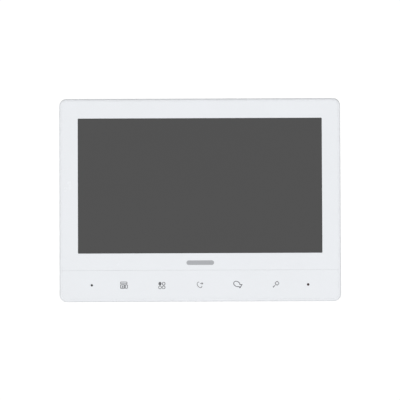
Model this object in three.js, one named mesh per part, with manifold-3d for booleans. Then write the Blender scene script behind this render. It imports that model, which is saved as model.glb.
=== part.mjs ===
// Wall-mounted video intercom monitor with a 7-inch-class display and five touch keys.
// Millimetres. X points to the viewer's right, Z points up and the viewer stands on the -Y side.
// The wall is the plane y = 0, and the origin is the centre of the outline on that plane.
import * as THREE from "three";
import { mergeVertices } from "three/addons/utils/BufferGeometryUtils.js";
import Module from "manifold-3d";

const wasm = await Module();
wasm.setup();

// ---- driving dimensions ----

const outline = { width: 180, height: 130, radius: 4.6 };
const rim = { round: 1.6, panelInset: 1.85, panelGap: 0.1, wall: 2 };
const arcSteps = 2;

// Stations along y, from the face that is looked at to the wall.
const face = -20;
const panelBack = -18.4;
const deckFront = -18.3;
const deckBack = -16.8;
const cellFront = -16.2;
const cellBack = -14.7;
const trayFront = -14.6;
const trayBack = -11.8;
const chassisFront = -11.6;
const chassisBack = -10.8;
const frameBack = -10;
const coverFront = -9.9;
const boardFront = -9.8;
const boardBack = -8.2;
const recessInner = -4.4;
const recessFloor = -2.8;
const coverInner = -2.4;
const coverBack = -0.6;
const bracketFront = -1.2;
const wallPlane = 0;
const pastWall = 1;

const window7 = { width: 156.2, height: 86.4, z: 9.15, flange: 1.9, flangeFront: -19, gap: 0.1 };
const lcd = { width: 165, height: 100, z: 8.5 };
const seamZ = -44.9;
const keys = { pitch: 24.4, z: -54.3, x: -0.2, springRadius: 3, openingRadius: 4.2 };
const microphone = { x: -69.3, z: -54.3, holeRadius: 0.8, neckRadius: 0.75, bootRadius: 3, capsuleRadius: 2 };
const indicator = { x: 68.9, z: -54.3, radius: 0.75, flangeRadius: 1.7 };

const touchBoard = { halfWidth: 82, top: -45.4, bottom: -62.2, front: -14.8, back: -13.8 };
const mainBoard = { halfWidth: 54, top: 50, bottom: -40 };
const chassis = { halfWidth: 87.2, top: 60, bottom: -42 };

const rearScrews = { xs: [-60, -12.2, 12.2, 60], z: -51.5, shankRadius: 1.2, headRadius: 2.6 };
const boardScrews = { x: 50, zs: [-36, 46], shankRadius: 1, headRadius: 2.2 };
const chassisScrews = { x: 85.2, zs: [44, 8, -30], shankRadius: 0.9, headRadius: 1.9 };
const snapTabs = { xs: [-50, 0, 50], halfWidth: 6, inner: 61.2, outer: 62.7, tip: -14.5 };

const recess = { halfWidth: 56, bottom: -46, top: 38.8, wall: 1.6 };
const bay = { halfWidth: 34.4, bottom: -31.5, top: -8.5 };
const bracket = { halfWidth: 52, bottom: -37, top: 38, radius: 3 };
const cableWindow = { halfWidth: 36, bottom: -31, top: -9 };
const hooks = { x: 44, zs: [-28, 22], halfWidth: 4, thickness: 1.2, tab: 6, tabFront: -5.8, tabBack: -4.6 };
const lift = 8;

const speaker = { x: 68, z: -22, width: 18, height: 34 };
const sockets = { z: -20, height: 6.2, wall: 0.9, mouth: -2.2, floor: -7.1 };

// ---- shape helpers ----

// Rounded rectangle in the XZ plane; the two upper corners may have their own radius.
function roundedOutline(x0, x1, z0, z1, radius, topRadius = radius) {
  const shape = new THREE.Shape();
  shape.absarc(x1 - topRadius, z1 - topRadius, topRadius, 0, Math.PI / 2);
  shape.absarc(x0 + topRadius, z1 - topRadius, topRadius, Math.PI / 2, Math.PI);
  shape.absarc(x0 + radius, z0 + radius, radius, Math.PI, 1.5 * Math.PI);
  shape.absarc(x1 - radius, z0 + radius, radius, 1.5 * Math.PI, 2 * Math.PI);
  return shape;
}

function centredOutline(x, z, width, height, radius) {
  return roundedOutline(x - width / 2, x + width / 2, z - height / 2, z + height / 2, radius);
}

// Extrudes an XZ outline so that it fills y from front to back.
function plate(shape, front, back, curveSegments = arcSteps) {
  const settings = { depth: back - front, bevelEnabled: false, curveSegments };
  const geometry = new THREE.ExtrudeGeometry(shape, settings);
  const upright = new THREE.Matrix4().set(1, 0, 0, 0, 0, 0, -1, back, 0, 1, 0, 0, 0, 0, 0, 1);
  return geometry.applyMatrix4(upright);
}

function block(x0, x1, y0, y1, z0, z1) {
  const geometry = new THREE.BoxGeometry(x1 - x0, y1 - y0, z1 - z0);
  return geometry.translate((x0 + x1) / 2, (y0 + y1) / 2, (z0 + z1) / 2);
}

// Cylinder along y.
function rod(x, z, radius, front, back, sides = 12) {
  const geometry = new THREE.CylinderGeometry(radius, radius, back - front, sides);
  return geometry.translate(x, (front + back) / 2, z);
}

// Profile of [radius, y] points turned about an axis along y.
function turned(profile, x, z, sides = 14) {
  const points = profile.map(([radius, y]) => new THREE.Vector2(radius, y));
  return new THREE.LatheGeometry(points, sides).translate(x, 0, z);
}

// Closed body through rounded rectangles, given from the front section to the back one.
function loft(sections) {
  const rings = sections.map(({ y, width, height, radius, x = 0, z = 0 }) => {
    const points = centredOutline(x, z, width, height, radius).extractPoints(arcSteps).shape;
    return { y, points };
  });
  const count = rings[0].points.length;
  const positions = [];
  for (const { y, points } of rings) {
    for (const point of points) {
      positions.push(point.x, y, point.y);
    }
  }
  const triangles = [];
  for (let ring = 0; ring < rings.length - 1; ring += 1) {
    for (let i = 0; i < count; i += 1) {
      const a = ring * count + i;
      const b = ring * count + ((i + 1) % count);
      triangles.push(a, a + count, b, b, a + count, b + count);
    }
  }
  const last = (rings.length - 1) * count;
  for (const [a, b, c] of THREE.ShapeUtils.triangulateShape(rings[0].points, [])) {
    triangles.push(a, b, c);
    triangles.push(last + a, last + c, last + b);
  }
  const geometry = new THREE.BufferGeometry();
  geometry.setAttribute("position", new THREE.Float32BufferAttribute(positions, 3));
  geometry.setIndex(triangles);
  return geometry;
}

function solidOf(geometry) {
  const bare = new THREE.BufferGeometry();
  const flat = geometry.index ? geometry.toNonIndexed() : geometry;
  bare.setAttribute("position", flat.getAttribute("position"));
  const merged = mergeVertices(bare, 1e-4);
  const vertProperties = merged.attributes.position.array;
  const triVerts = new Uint32Array(merged.index.array);
  return new wasm.Manifold(new wasm.Mesh({ numProp: 3, vertProperties, triVerts }));
}

// Joins the added geometries to the base, then cuts the tools out of the whole.
function shaped(base, { add = [], cut = [] }) {
  let solid = solidOf(base);
  for (const geometry of add) {
    solid = solid.add(solidOf(geometry));
  }
  for (const geometry of cut) {
    solid = solid.subtract(solidOf(geometry));
  }
  const { vertProperties, triVerts } = solid.getMesh();
  const result = new THREE.BufferGeometry();
  result.setAttribute("position", new THREE.BufferAttribute(vertProperties, 3));
  result.setIndex(new THREE.BufferAttribute(triVerts, 1));
  result.computeVertexNormals();
  return result;
}

// ---- the assembly ----

const finishes = {
  whiteGloss: { color: 0xeceef0, roughness: 0.25, metalness: 0 },
  whiteSatin: { color: 0xe6e8ea, roughness: 0.5, metalness: 0 },
  clear: { color: 0x3a3a3c, roughness: 0.05, metalness: 0, transparent: true, opacity: 0.35 },
  lcdDark: { color: 0x3c3c3d, roughness: 0.2, metalness: 0 },
  redLens: { color: 0x3a1512, roughness: 0.2, metalness: 0 },
  rubber: { color: 0x1c1c1e, roughness: 0.85, metalness: 0 },
  foam: { color: 0x202022, roughness: 0.95, metalness: 0 },
  zinc: { color: 0xb9bcc0, roughness: 0.35, metalness: 1 },
  steel: { color: 0x9a9da2, roughness: 0.3, metalness: 1 },
  copperSpring: { color: 0xc8b07a, roughness: 0.3, metalness: 1 },
  board: { color: 0x1f5a36, roughness: 0.45, metalness: 0 },
  chip: { color: 0x17181a, roughness: 0.5, metalness: 0 },
  ferrite: { color: 0x2c2d30, roughness: 0.7, metalness: 0 },
  connector: { color: 0xefece2, roughness: 0.45, metalness: 0 },
  ribbon: { color: 0xc98a3a, roughness: 0.4, metalness: 0 },
  paper: { color: 0x33302c, roughness: 0.9, metalness: 0 },
  aluminium: { color: 0xc4c7cb, roughness: 0.35, metalness: 1 },
};

const intercomMonitor = new THREE.Group();

function addPiece(name, geometry, finish, parent = intercomMonitor) {
  const mesh = new THREE.Mesh(geometry, new THREE.MeshStandardMaterial(finishes[finish]));
  mesh.name = name;
  parent.add(mesh);
  return mesh;
}

const keyXs = [-2, -1, 0, 1, 2].map((step) => keys.x + step * keys.pitch);

// ---- front frame: rim, deck behind the panels, screw bosses ----

function frontFrame() {
  const rounded = rim.round * (1 - Math.SQRT1_2);
  const section = (y, inset) => ({
    y,
    width: outline.width - 2 * inset,
    height: outline.height - 2 * inset,
    radius: outline.radius - inset,
  });
  const body = loft([
    section(face, rim.round),
    section(face + rounded, rounded),
    section(face + rim.round, 0),
    section(frameBack, 0),
  ]);
  const recessInset = rim.panelInset - rim.panelGap;
  const insideX = outline.width / 2 - rim.wall;
  const insideZ = outline.height / 2 - rim.wall;
  const cut = [
    plate(
      centredOutline(
        0,
        0,
        outline.width - 2 * recessInset,
        outline.height - 2 * recessInset,
        outline.radius - recessInset,
      ),
      face - 1,
      deckFront,
    ),
    plate(centredOutline(0, 0, 2 * insideX, 2 * insideZ, 2.6), deckBack, frameBack + 1),
    plate(
      centredOutline(0, window7.z, window7.width + 1.2, window7.height + 1, 0.8),
      deckFront - 1,
      deckBack + 1,
    ),
  ];
  const open = shaped(body, { cut });

  const bosses = [];
  const holes = [];
  for (const side of [-1, 1]) {
    for (const z of chassisScrews.zs) {
      const x = side * chassisScrews.x;
      const rib = [x, side * (insideX + 0.5)].sort((a, b) => a - b);
      bosses.push(rod(x, z, 2.2, deckBack - 0.2, chassisFront - 0.1));
      bosses.push(block(rib[0], rib[1], deckBack - 0.2, chassisFront - 0.1, z - 0.6, z + 0.6));
      holes.push(rod(x, z, chassisScrews.shankRadius + 0.15, -15.6, chassisFront + 1));
    }
  }
  for (const x of rearScrews.xs) {
    bosses.push(rod(x, rearScrews.z, 3.6, deckBack - 0.2, touchBoard.front - 0.1));
    bosses.push(rod(x, rearScrews.z, 2.6, deckBack - 0.2, coverFront + 0.1));
    holes.push(rod(x, rearScrews.z, rearScrews.shankRadius + 0.15, -15.6, coverFront + 1));
  }
  for (const x of keyXs) {
    holes.push(rod(x, keys.z, keys.openingRadius, deckFront - 1, deckBack + 1));
  }
  holes.push(rod(microphone.x, microphone.z, microphone.bootRadius + 0.2, deckFront - 1, deckBack + 1));
  holes.push(rod(indicator.x, indicator.z, indicator.flangeRadius + 0.2, deckFront - 1, deckBack + 1));
  for (const x of snapTabs.xs) {
    const half = snapTabs.halfWidth + 0.5;
    holes.push(block(x - half, x + half, snapTabs.tip - 0.1, snapTabs.tip + 1.5, insideZ - 0.5, insideZ + 0.7));
  }
  return shaped(open, { add: bosses, cut: holes });
}
addPiece("front_frame", frontFrame(), "whiteGloss");

// ---- front panels and window ----

const panelX = outline.width / 2 - rim.panelInset;
const panelZ = outline.height / 2 - rim.panelInset;
const panelRadius = outline.radius - rim.panelInset;
const seamHalf = 0.05;

const screenPanel = shaped(
  plate(
    roundedOutline(-panelX, panelX, seamZ + seamHalf, panelZ, 0.2, panelRadius),
    face,
    panelBack,
  ),
  {
    cut: [
      plate(centredOutline(0, window7.z, window7.width, window7.height, 0.4), face - 1, panelBack + 1),
      plate(
        centredOutline(
          0,
          window7.z,
          window7.width + 2 * (window7.flange + window7.gap),
          window7.height + 2 * (window7.flange + window7.gap),
          0.8,
        ),
        window7.flangeFront - window7.gap,
        panelBack + 1,
      ),
    ],
  },
);
addPiece("screen_panel", screenPanel, "whiteGloss");

const touchPanel = shaped(
  plate(
    roundedOutline(-panelX, panelX, -panelZ, seamZ - seamHalf, panelRadius, 0.2),
    face,
    panelBack,
  ),
  {
    cut: [
      rod(microphone.x, microphone.z, microphone.holeRadius, face - 1, panelBack + 1),
      rod(indicator.x, indicator.z, indicator.radius + 0.06, face - 1, panelBack + 1),
    ],
  },
);
addPiece("touch_panel", touchPanel, "whiteGloss");

const windowWidth = window7.width - 2 * window7.gap;
const windowHeight = window7.height - 2 * window7.gap;
const displayWindow = shaped(
  plate(centredOutline(0, window7.z, windowWidth, windowHeight, 0.3), face, panelBack),
  {
    add: [
      plate(
        centredOutline(
          0,
          window7.z,
          windowWidth + 2 * window7.flange,
          windowHeight + 2 * window7.flange,
          0.7,
        ),
        window7.flangeFront,
        panelBack,
      ),
    ],
  },
);
addPiece("display_window", displayWindow, "clear");

// ---- display module ----

const gasketRing = shaped(
  plate(centredOutline(0, window7.z, lcd.width - 2, lcd.height - 3, 1), deckBack + 0.1, cellFront - 0.1),
  {
    cut: [
      plate(
        centredOutline(0, window7.z, window7.width + 1.4, window7.height + 1.2, 0.8),
        deckBack - 1,
        cellFront + 1,
      ),
    ],
  },
);
addPiece("lcd_gasket", gasketRing, "foam");
addPiece("lcd_panel", plate(centredOutline(0, lcd.z, lcd.width, lcd.height, 0.5), cellFront, cellBack), "lcdDark");
addPiece(
  "lcd_backlight",
  plate(centredOutline(0, lcd.z, lcd.width, lcd.height, 1), trayFront, trayBack),
  "aluminium",
);

// ---- chassis plate with pressed standoffs for the main board ----

const boardScrewPlaces = boardScrews.zs.flatMap((z) => [-boardScrews.x, boardScrews.x].map((x) => [x, z]));
const chassisScrewPlaces = chassisScrews.zs.flatMap((z) => {
  return [-chassisScrews.x, chassisScrews.x].map((x) => [x, z]);
});

const chassisPlate = shaped(
  plate(
    roundedOutline(-chassis.halfWidth, chassis.halfWidth, chassis.bottom, chassis.top, 1),
    chassisFront,
    chassisBack,
  ),
  {
    add: boardScrewPlaces.map(([x, z]) => rod(x, z, 2.4, chassisBack - 0.2, boardFront - 0.1)),
    cut: [
      ...boardScrewPlaces.map(([x, z]) => rod(x, z, boardScrews.shankRadius + 0.15, -12, -9)),
      ...chassisScrewPlaces.map(([x, z]) => rod(x, z, chassisScrews.shankRadius + 0.25, -12, -9)),
    ],
  },
);
addPiece("chassis_plate", chassisPlate, "steel");

// ---- touch key board, its springs, the microphone and the indicator ----

const touchBoardBody = shaped(
  block(
    -touchBoard.halfWidth,
    touchBoard.halfWidth,
    touchBoard.front,
    touchBoard.back,
    touchBoard.bottom,
    touchBoard.top,
  ),
  { cut: rearScrews.xs.map((x) => rod(x, rearScrews.z, 2.9, touchBoard.front - 1, touchBoard.back + 1)) },
);
addPiece("touch_board", touchBoardBody, "board");

class SpringCoil extends THREE.Curve {
  constructor(radius, start, end, turns) {
    super();
    Object.assign(this, { radius, start, end, turns });
  }
  getPoint(t) {
    const angle = 2 * Math.PI * this.turns * t;
    const y = THREE.MathUtils.lerp(this.start, this.end, t);
    return new THREE.Vector3(this.radius * Math.cos(angle), y, this.radius * Math.sin(angle));
  }
}

function touchSpring() {
  const wire = 0.22;
  const section = new THREE.Shape().absarc(0, 0, wire, 0, 2 * Math.PI);
  const coil = new SpringCoil(keys.springRadius, panelBack + 2 * wire, touchBoard.front - 2 * wire, 3);
  const settings = { steps: 30, curveSegments: 3, extrudePath: coil, bevelEnabled: false };
  return new THREE.ExtrudeGeometry(section, settings);
}
keyXs.forEach((x, index) => {
  const spring = addPiece(`touch_spring_${index + 1}`, touchSpring(), "copperSpring");
  spring.position.set(x, 0, keys.z);
});

const bootPocket = -16.6;
const bootBack = touchBoard.front - 0.1;
const neckFront = face + 0.15;
const neckBore = 0.35;
const micBoot = turned(
  [
    [neckBore, neckFront],
    [microphone.neckRadius, neckFront],
    [microphone.neckRadius, deckFront],
    [microphone.bootRadius, deckFront],
    [microphone.bootRadius, bootBack],
    [microphone.capsuleRadius + 0.15, bootBack],
    [microphone.capsuleRadius + 0.15, bootPocket],
    [neckBore, bootPocket],
    [neckBore, neckFront],
  ],
  microphone.x,
  microphone.z,
);
addPiece("mic_boot", micBoot, "rubber");
addPiece(
  "mic_capsule",
  rod(microphone.x, microphone.z, microphone.capsuleRadius, bootPocket + 0.2, bootBack),
  "aluminium",
);

const lensFace = face + 0.05;
const lensBack = -15.9;
const indicatorLens = turned(
  [
    [0, lensFace],
    [indicator.radius, lensFace],
    [indicator.radius, deckFront],
    [indicator.flangeRadius, deckFront],
    [indicator.flangeRadius, deckFront + 0.9],
    [1.2, deckFront + 0.9],
    [1.2, lensBack],
    [0, lensBack],
  ],
  indicator.x,
  indicator.z,
);
addPiece("indicator_lens", indicatorLens, "redLens");
addPiece(
  "indicator_led",
  block(indicator.x - 1, indicator.x + 1, lensBack + 0.1, bootBack, indicator.z - 0.6, indicator.z + 0.6),
  "connector",
);

// ---- main board and what is soldered to it ----

const mainBoardBody = shaped(
  block(-mainBoard.halfWidth, mainBoard.halfWidth, boardFront, boardBack, mainBoard.bottom, mainBoard.top),
  { cut: boardScrewPlaces.map(([x, z]) => rod(x, z, boardScrews.shankRadius + 0.4, -11, -7)) },
);
addPiece("main_board", mainBoardBody, "board");

const partFoot = boardBack + 0.05;

function chip(x, z, width, height, thickness) {
  return block(x - width / 2, x + width / 2, partFoot, partFoot + thickness, z - height / 2, z + height / 2);
}
addPiece("video_processor", chip(-14, 14, 14, 14, 1.2), "chip");
addPiece("memory_chip", chip(6, 14, 9, 13, 1), "chip");
addPiece("power_inductor", plate(centredOutline(32, 44.5, 7, 7, 1), partFoot, partFoot + 3), "ferrite");

[-38, -30, -22].forEach((x, index) => {
  const can = turned(
    [
      [0, partFoot],
      [3.15, partFoot],
      [3.15, partFoot + 0.6],
      [2.85, partFoot + 0.9],
      [3.15, partFoot + 1.2],
      [3.15, partFoot + 4.9],
      [2.95, partFoot + 5.1],
      [0, partFoot + 5.1],
    ],
    x,
    45,
  );
  addPiece(`capacitor_${index + 1}`, can, "aluminium");
});

// Wire-to-board sockets that open towards the wall.
function socket(x, width) {
  const inner = width / 2 - sockets.wall;
  const innerZ = sockets.height / 2 - sockets.wall;
  return shaped(
    block(
      x - width / 2,
      x + width / 2,
      partFoot,
      sockets.mouth,
      sockets.z - sockets.height / 2,
      sockets.z + sockets.height / 2,
    ),
    {
      cut: [
        block(x - inner, x + inner, sockets.floor, sockets.mouth + 1, sockets.z - innerZ, sockets.z + innerZ),
      ],
    },
  );
}
addPiece("door_socket_1", socket(-24, 12.4), "connector");
addPiece("door_socket_2", socket(-8, 12.4), "connector");
addPiece("extension_socket", socket(8, 12.4), "connector");
addPiece("power_socket", socket(22, 7.4), "connector");

// Flat flexible leads that run round the lower edge of the chassis plate.
const ribbonHalf = 0.15;
const leadPlane = boardBack + 0.6;

addPiece("lcd_connector", chip(4, -37.6, 34, 3.4, 1.4), "connector");
const flexZ = -43.6;
const flexFront = (cellFront + cellBack) / 2;
const lcdFlex = shaped(
  block(-11, 19, flexFront - ribbonHalf, flexFront + ribbonHalf, flexZ - ribbonHalf, lcd.z - lcd.height / 2 - 0.1),
  {
    add: [
      block(-11, 19, flexFront - ribbonHalf, leadPlane + ribbonHalf, flexZ - ribbonHalf, flexZ + ribbonHalf),
      block(-11, 19, leadPlane - ribbonHalf, leadPlane + ribbonHalf, flexZ - ribbonHalf, -39.4),
    ],
  },
);
addPiece("lcd_flex", lcdFlex, "ribbon");

addPiece("touch_connector", chip(-36, -37.6, 12, 3.4, 1.4), "connector");
const cableZ = -46.6;
const cableFront = touchBoard.back + 0.1;
const touchCable = shaped(
  block(-40, -32, cableFront, leadPlane + ribbonHalf, cableZ - ribbonHalf, cableZ + ribbonHalf),
  { add: [block(-40, -32, leadPlane - ribbonHalf, leadPlane + ribbonHalf, cableZ - ribbonHalf, -39.4)] },
);
addPiece("touch_cable", touchCable, "ribbon");

// ---- speaker, firing through the slots of the rear cover ----

function racetrack(width, height, front, back) {
  return plate(centredOutline(speaker.x, speaker.z, width, height, width / 2), front, back);
}
const gasketBack = coverInner - 0.1;
const gasketFront = gasketBack - 0.8;
const basketBack = gasketFront - 0.1;
const basketFront = basketBack - 4.2;
const poleBack = basketFront + 0.7;

const speakerFrame = shaped(racetrack(speaker.width, speaker.height, basketFront, basketBack), {
  cut: [
    racetrack(speaker.width - 3, speaker.height - 3, basketFront + 1, basketBack + 1),
    rod(speaker.x, speaker.z, 3.5, basketFront - 1, basketFront + 2),
  ],
});
addPiece("speaker_frame", speakerFrame, "chip");

const magnetFront = basketFront - 2.7;
const speakerMagnet = turned(
  [
    [0, magnetFront],
    [5.7, magnetFront],
    [6, magnetFront + 0.3],
    [6, basketFront - 0.1],
    [3, basketFront - 0.1],
    [3, poleBack],
    [0, poleBack],
  ],
  speaker.x,
  speaker.z,
);
addPiece("speaker_magnet", speakerMagnet, "steel");

function coneSection(y, width) {
  const spare = speaker.height - speaker.width;
  return { y, width, height: width + spare, radius: width / 2, x: speaker.x, z: speaker.z };
}
const coneFront = -5.9;
const coneBack = -4.4;
const speakerCone = shaped(
  loft([coneSection(coneFront, 8), coneSection(coneBack - 0.5, 14.2), coneSection(coneBack, 14.2)]),
  { cut: [loft([coneSection(coneFront + 0.4, 7.2), coneSection(coneBack - 0.1, 13), coneSection(coneBack + 1, 13)])] },
);
addPiece("speaker_cone", speakerCone, "paper");

const speakerGasket = shaped(racetrack(speaker.width, speaker.height, gasketFront, gasketBack), {
  cut: [racetrack(speaker.width - 3.4, speaker.height - 3.4, gasketFront - 1, gasketBack + 1)],
});
addPiece("speaker_gasket", speakerGasket, "foam");

// ---- rear cover ----

function rearCover() {
  const section = (y, inset, radius) => ({
    y,
    width: outline.width - 2 * inset,
    height: outline.height - 2 * inset,
    radius,
  });
  const outer = loft([
    section(coverFront, 0.6, 4.2),
    section(-8.4, 0.6, 4.2),
    section(-5.5, 1.7, 5),
    section(-3, 4.2, 6),
    section(-1.4, 7.2, 7),
    section(coverBack, 10, 8),
  ]);
  const inner = loft([
    section(coverFront - 1, 2.4, 2.6),
    section(-8.4, 2.4, 2.6),
    section(-6, 3.8, 3),
    section(-4.2, 6.2, 4),
    section(-3.1, 9, 5),
    section(coverInner, 12, 6),
  ]);
  const shell = shaped(outer, { cut: [inner] });

  const shelf = coverBack - 0.4;
  const add = [
    plate(
      roundedOutline(
        -recess.halfWidth - recess.wall,
        recess.halfWidth + recess.wall,
        recess.bottom - recess.wall,
        recess.top + recess.wall,
        3,
      ),
      recessInner,
      shelf,
    ),
    shaped(racetrack(speaker.width + 2.6, speaker.height + 2.6, basketBack - 1.6, shelf), {
      cut: [racetrack(speaker.width + 0.6, speaker.height + 0.6, basketBack - 2, coverInner)],
    }),
  ];
  for (const x of rearScrews.xs) {
    add.push(rod(x, rearScrews.z, 3.3, coverFront + 0.2, shelf));
  }
  for (const x of snapTabs.xs) {
    const x0 = x - snapTabs.halfWidth;
    const x1 = x + snapTabs.halfWidth;
    add.push(block(x0, x1, snapTabs.tip, coverFront + 2, snapTabs.inner, snapTabs.outer));
    add.push(block(x0, x1, coverFront + 0.3, coverFront + 2, snapTabs.inner, snapTabs.outer + 1));
    add.push(block(x0, x1, snapTabs.tip + 0.2, snapTabs.tip + 1.2, snapTabs.inner, snapTabs.outer + 0.6));
  }

  const cut = [
    plate(
      roundedOutline(-recess.halfWidth, recess.halfWidth, recess.bottom, recess.top, 2),
      recessFloor,
      pastWall,
    ),
    plate(roundedOutline(-bay.halfWidth, bay.halfWidth, bay.bottom, bay.top, 1), recessInner - 1, pastWall),
  ];
  for (const z of hooks.zs) {
    for (const x of [-hooks.x, hooks.x]) {
      const half = hooks.halfWidth + 0.3;
      const bottom = z - lift - 0.3;
      const top = z + hooks.thickness + 0.05;
      cut.push(block(x - half, x + half, recessInner - 1, pastWall, bottom, top));
    }
  }
  for (const x of rearScrews.xs) {
    cut.push(rod(x, rearScrews.z, rearScrews.shankRadius + 0.3, coverFront - 1, pastWall));
    cut.push(rod(x, rearScrews.z, rearScrews.headRadius + 0.3, coverBack - 2, pastWall));
  }
  const slotSteps = 1;
  const slotPitch = 3.6;
  for (let step = -3; step <= 3; step += 1) {
    const slot = centredOutline(speaker.x, speaker.z + step * slotPitch, 12.6 - Math.abs(step), 1.6, 0.75);
    cut.push(plate(slot, coverInner - 0.5, pastWall, slotSteps));
  }
  const ventPitch = 4;
  for (let step = -6; step <= 6; step += 1) {
    const vent = centredOutline(step * ventPitch, 47.4, 1.6, 8, 0.75);
    cut.push(plate(vent, coverInner - 0.5, pastWall, slotSteps));
  }
  return shaped(shell, { add, cut });
}
addPiece("rear_cover", rearCover(), "whiteSatin");

// ---- wall bracket with four hooks turned up out of the plate ----

function wallBracket() {
  const body = plate(
    roundedOutline(-bracket.halfWidth, bracket.halfWidth, bracket.bottom, bracket.top, bracket.radius),
    bracketFront,
    wallPlane,
  );
  const add = [];
  const cut = [
    plate(
      roundedOutline(-cableWindow.halfWidth, cableWindow.halfWidth, cableWindow.bottom, cableWindow.top, 2),
      bracketFront - 1,
      pastWall,
    ),
  ];
  for (const z of hooks.zs) {
    for (const x of [-hooks.x, hooks.x]) {
      const x0 = x - hooks.halfWidth;
      const x1 = x + hooks.halfWidth;
      const neckTop = z + hooks.thickness;
      add.push(block(x0, x1, hooks.tabFront, bracketFront + 0.2, z, neckTop));
      add.push(block(x0, x1, hooks.tabFront, hooks.tabBack, z, neckTop + hooks.tab));
      cut.push(block(x0 - 0.2, x1 + 0.2, bracketFront - 0.1, pastWall, neckTop, neckTop + hooks.tab + 0.4));
    }
  }
  const slotWidth = 4;
  for (const x of [-30, 30]) {
    cut.push(plate(centredOutline(x, 2, 9, slotWidth, 1.95), bracketFront - 1, pastWall));
    cut.push(rod(x, 32, slotWidth / 2, bracketFront - 1, pastWall));
  }
  cut.push(plate(centredOutline(0, 28, slotWidth, 9, 1.95), bracketFront - 1, pastWall));
  return shaped(body, { add, cut });
}
addPiece("wall_bracket", wallBracket(), "zinc");

// ---- screws: pan heads with a cross recess, heads towards the wall ----

function panScrew(seat, length, shankRadius, headRadius, headHeight) {
  const top = seat + headHeight;
  const cross = headRadius * 0.62;
  return shaped(
    turned(
      [
        [0, seat - length],
        [shankRadius * 0.5, seat - length],
        [shankRadius, seat - length + 1],
        [shankRadius, seat],
        [headRadius, seat],
        [headRadius, seat + headHeight * 0.5],
        [headRadius * 0.75, top],
        [0, top],
      ],
      0,
      0,
      10,
    ),
    {
      cut: [
        block(-cross, cross, top - 0.8, top + 1, -0.3, 0.3),
        block(-0.3, 0.3, top - 0.8, top + 1, -cross, cross),
      ],
    },
  );
}

function addScrews(name, places, seat, length, { shankRadius, headRadius }, headHeight) {
  places.forEach(([x, z], index) => {
    const geometry = panScrew(seat, length, shankRadius, headRadius, headHeight);
    addPiece(`${name}_${index + 1}`, geometry, "steel").position.set(x, 0, z);
  });
}
const rearScrewPlaces = rearScrews.xs.map((x) => [x, rearScrews.z]);
addScrews("rear_screw", rearScrewPlaces, coverBack - 1.95, 12, rearScrews, 1.5);
addScrews("board_screw", boardScrewPlaces, boardBack + 0.05, 3, boardScrews, 1.3);
addScrews("chassis_screw", chassisScrewPlaces, chassisBack + 0.05, 4, chassisScrews, 1.2);

export default intercomMonitor;
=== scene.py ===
import math

import bmesh
import bpy
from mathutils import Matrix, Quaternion, Vector


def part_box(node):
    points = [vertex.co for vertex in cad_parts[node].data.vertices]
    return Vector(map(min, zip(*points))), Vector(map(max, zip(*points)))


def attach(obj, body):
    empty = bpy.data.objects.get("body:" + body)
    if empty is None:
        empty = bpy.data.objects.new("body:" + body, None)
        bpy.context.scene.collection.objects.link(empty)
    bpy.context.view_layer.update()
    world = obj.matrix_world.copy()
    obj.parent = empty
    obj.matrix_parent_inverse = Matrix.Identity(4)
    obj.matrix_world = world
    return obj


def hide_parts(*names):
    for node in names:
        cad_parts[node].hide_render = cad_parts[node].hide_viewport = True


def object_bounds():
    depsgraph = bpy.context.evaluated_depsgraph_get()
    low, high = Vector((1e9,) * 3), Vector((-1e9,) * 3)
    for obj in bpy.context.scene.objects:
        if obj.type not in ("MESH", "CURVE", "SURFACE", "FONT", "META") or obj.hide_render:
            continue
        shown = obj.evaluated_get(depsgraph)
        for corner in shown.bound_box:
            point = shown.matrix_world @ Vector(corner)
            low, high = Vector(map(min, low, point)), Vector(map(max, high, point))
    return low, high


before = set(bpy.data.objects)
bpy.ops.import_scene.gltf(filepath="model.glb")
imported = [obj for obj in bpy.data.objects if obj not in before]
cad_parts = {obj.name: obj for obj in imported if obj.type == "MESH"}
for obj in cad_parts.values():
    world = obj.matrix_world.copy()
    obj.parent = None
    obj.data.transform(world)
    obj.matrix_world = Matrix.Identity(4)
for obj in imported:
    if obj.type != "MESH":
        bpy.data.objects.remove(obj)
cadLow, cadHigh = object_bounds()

# Video intercom monitor. Metres; the viewer stands on the -Y side and the wall is the plane y = 0.
mm = 0.001
print("frame loaded:", len(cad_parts), "nodes")


# outlines and meshes

def roundedRect(x0, x1, z0, z1, radius, topRadius=None, steps=8):
    # points of an upright rounded rectangle, corner by corner from the upper right one
    top = radius if topRadius is None else topRadius
    corners = [
        (x1 - top, z1 - top, top, 0), (x0 + top, z1 - top, top, 90),
        (x0 + radius, z0 + radius, radius, 180), (x1 - radius, z0 + radius, radius, 270),
    ]
    points = []
    for cx, cz, r, start in corners:
        for i in range(steps + 1):
            angle = math.radians(start + 90 * i / steps)
            points.append((cx + r * math.cos(angle), cz + r * math.sin(angle)))
    return points


def nodeRect(node, inset=0.0):
    low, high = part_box(node)
    return low.x + inset, high.x - inset, low.z + inset, high.z - inset


def centreOf(node):
    low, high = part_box(node)
    return (low + high) / 2


def eachOf(prefix, count):
    return [f"{prefix}_{i}" for i in range(1, count + 1)]


def circlePoints(x, z, radius, count=32):
    turn = 2 * math.pi / count
    return [(x + radius * math.cos(i * turn), z + radius * math.sin(i * turn)) for i in range(count)]


def softProfile(corners, steps=4):
    # corners of a square-cornered closed section: (inset, y, radius), each one rounded
    rounded = []
    for i, (inset, y, radius) in enumerate(corners):
        here = Vector((inset, y))
        before = (Vector(corners[i - 1][:2]) - here).normalized()
        after = (Vector(corners[(i + 1) % len(corners)][:2]) - here).normalized()
        if radius <= 0:
            rounded.append((inset, y))
            continue
        centre = here + (before + after) * radius
        for step in range(steps + 1):
            angle = math.pi / 2 * step / steps
            point = centre - after * radius * math.cos(angle) - before * radius * math.sin(angle)
            rounded.append((point.x, point.y))
    return rounded


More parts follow.
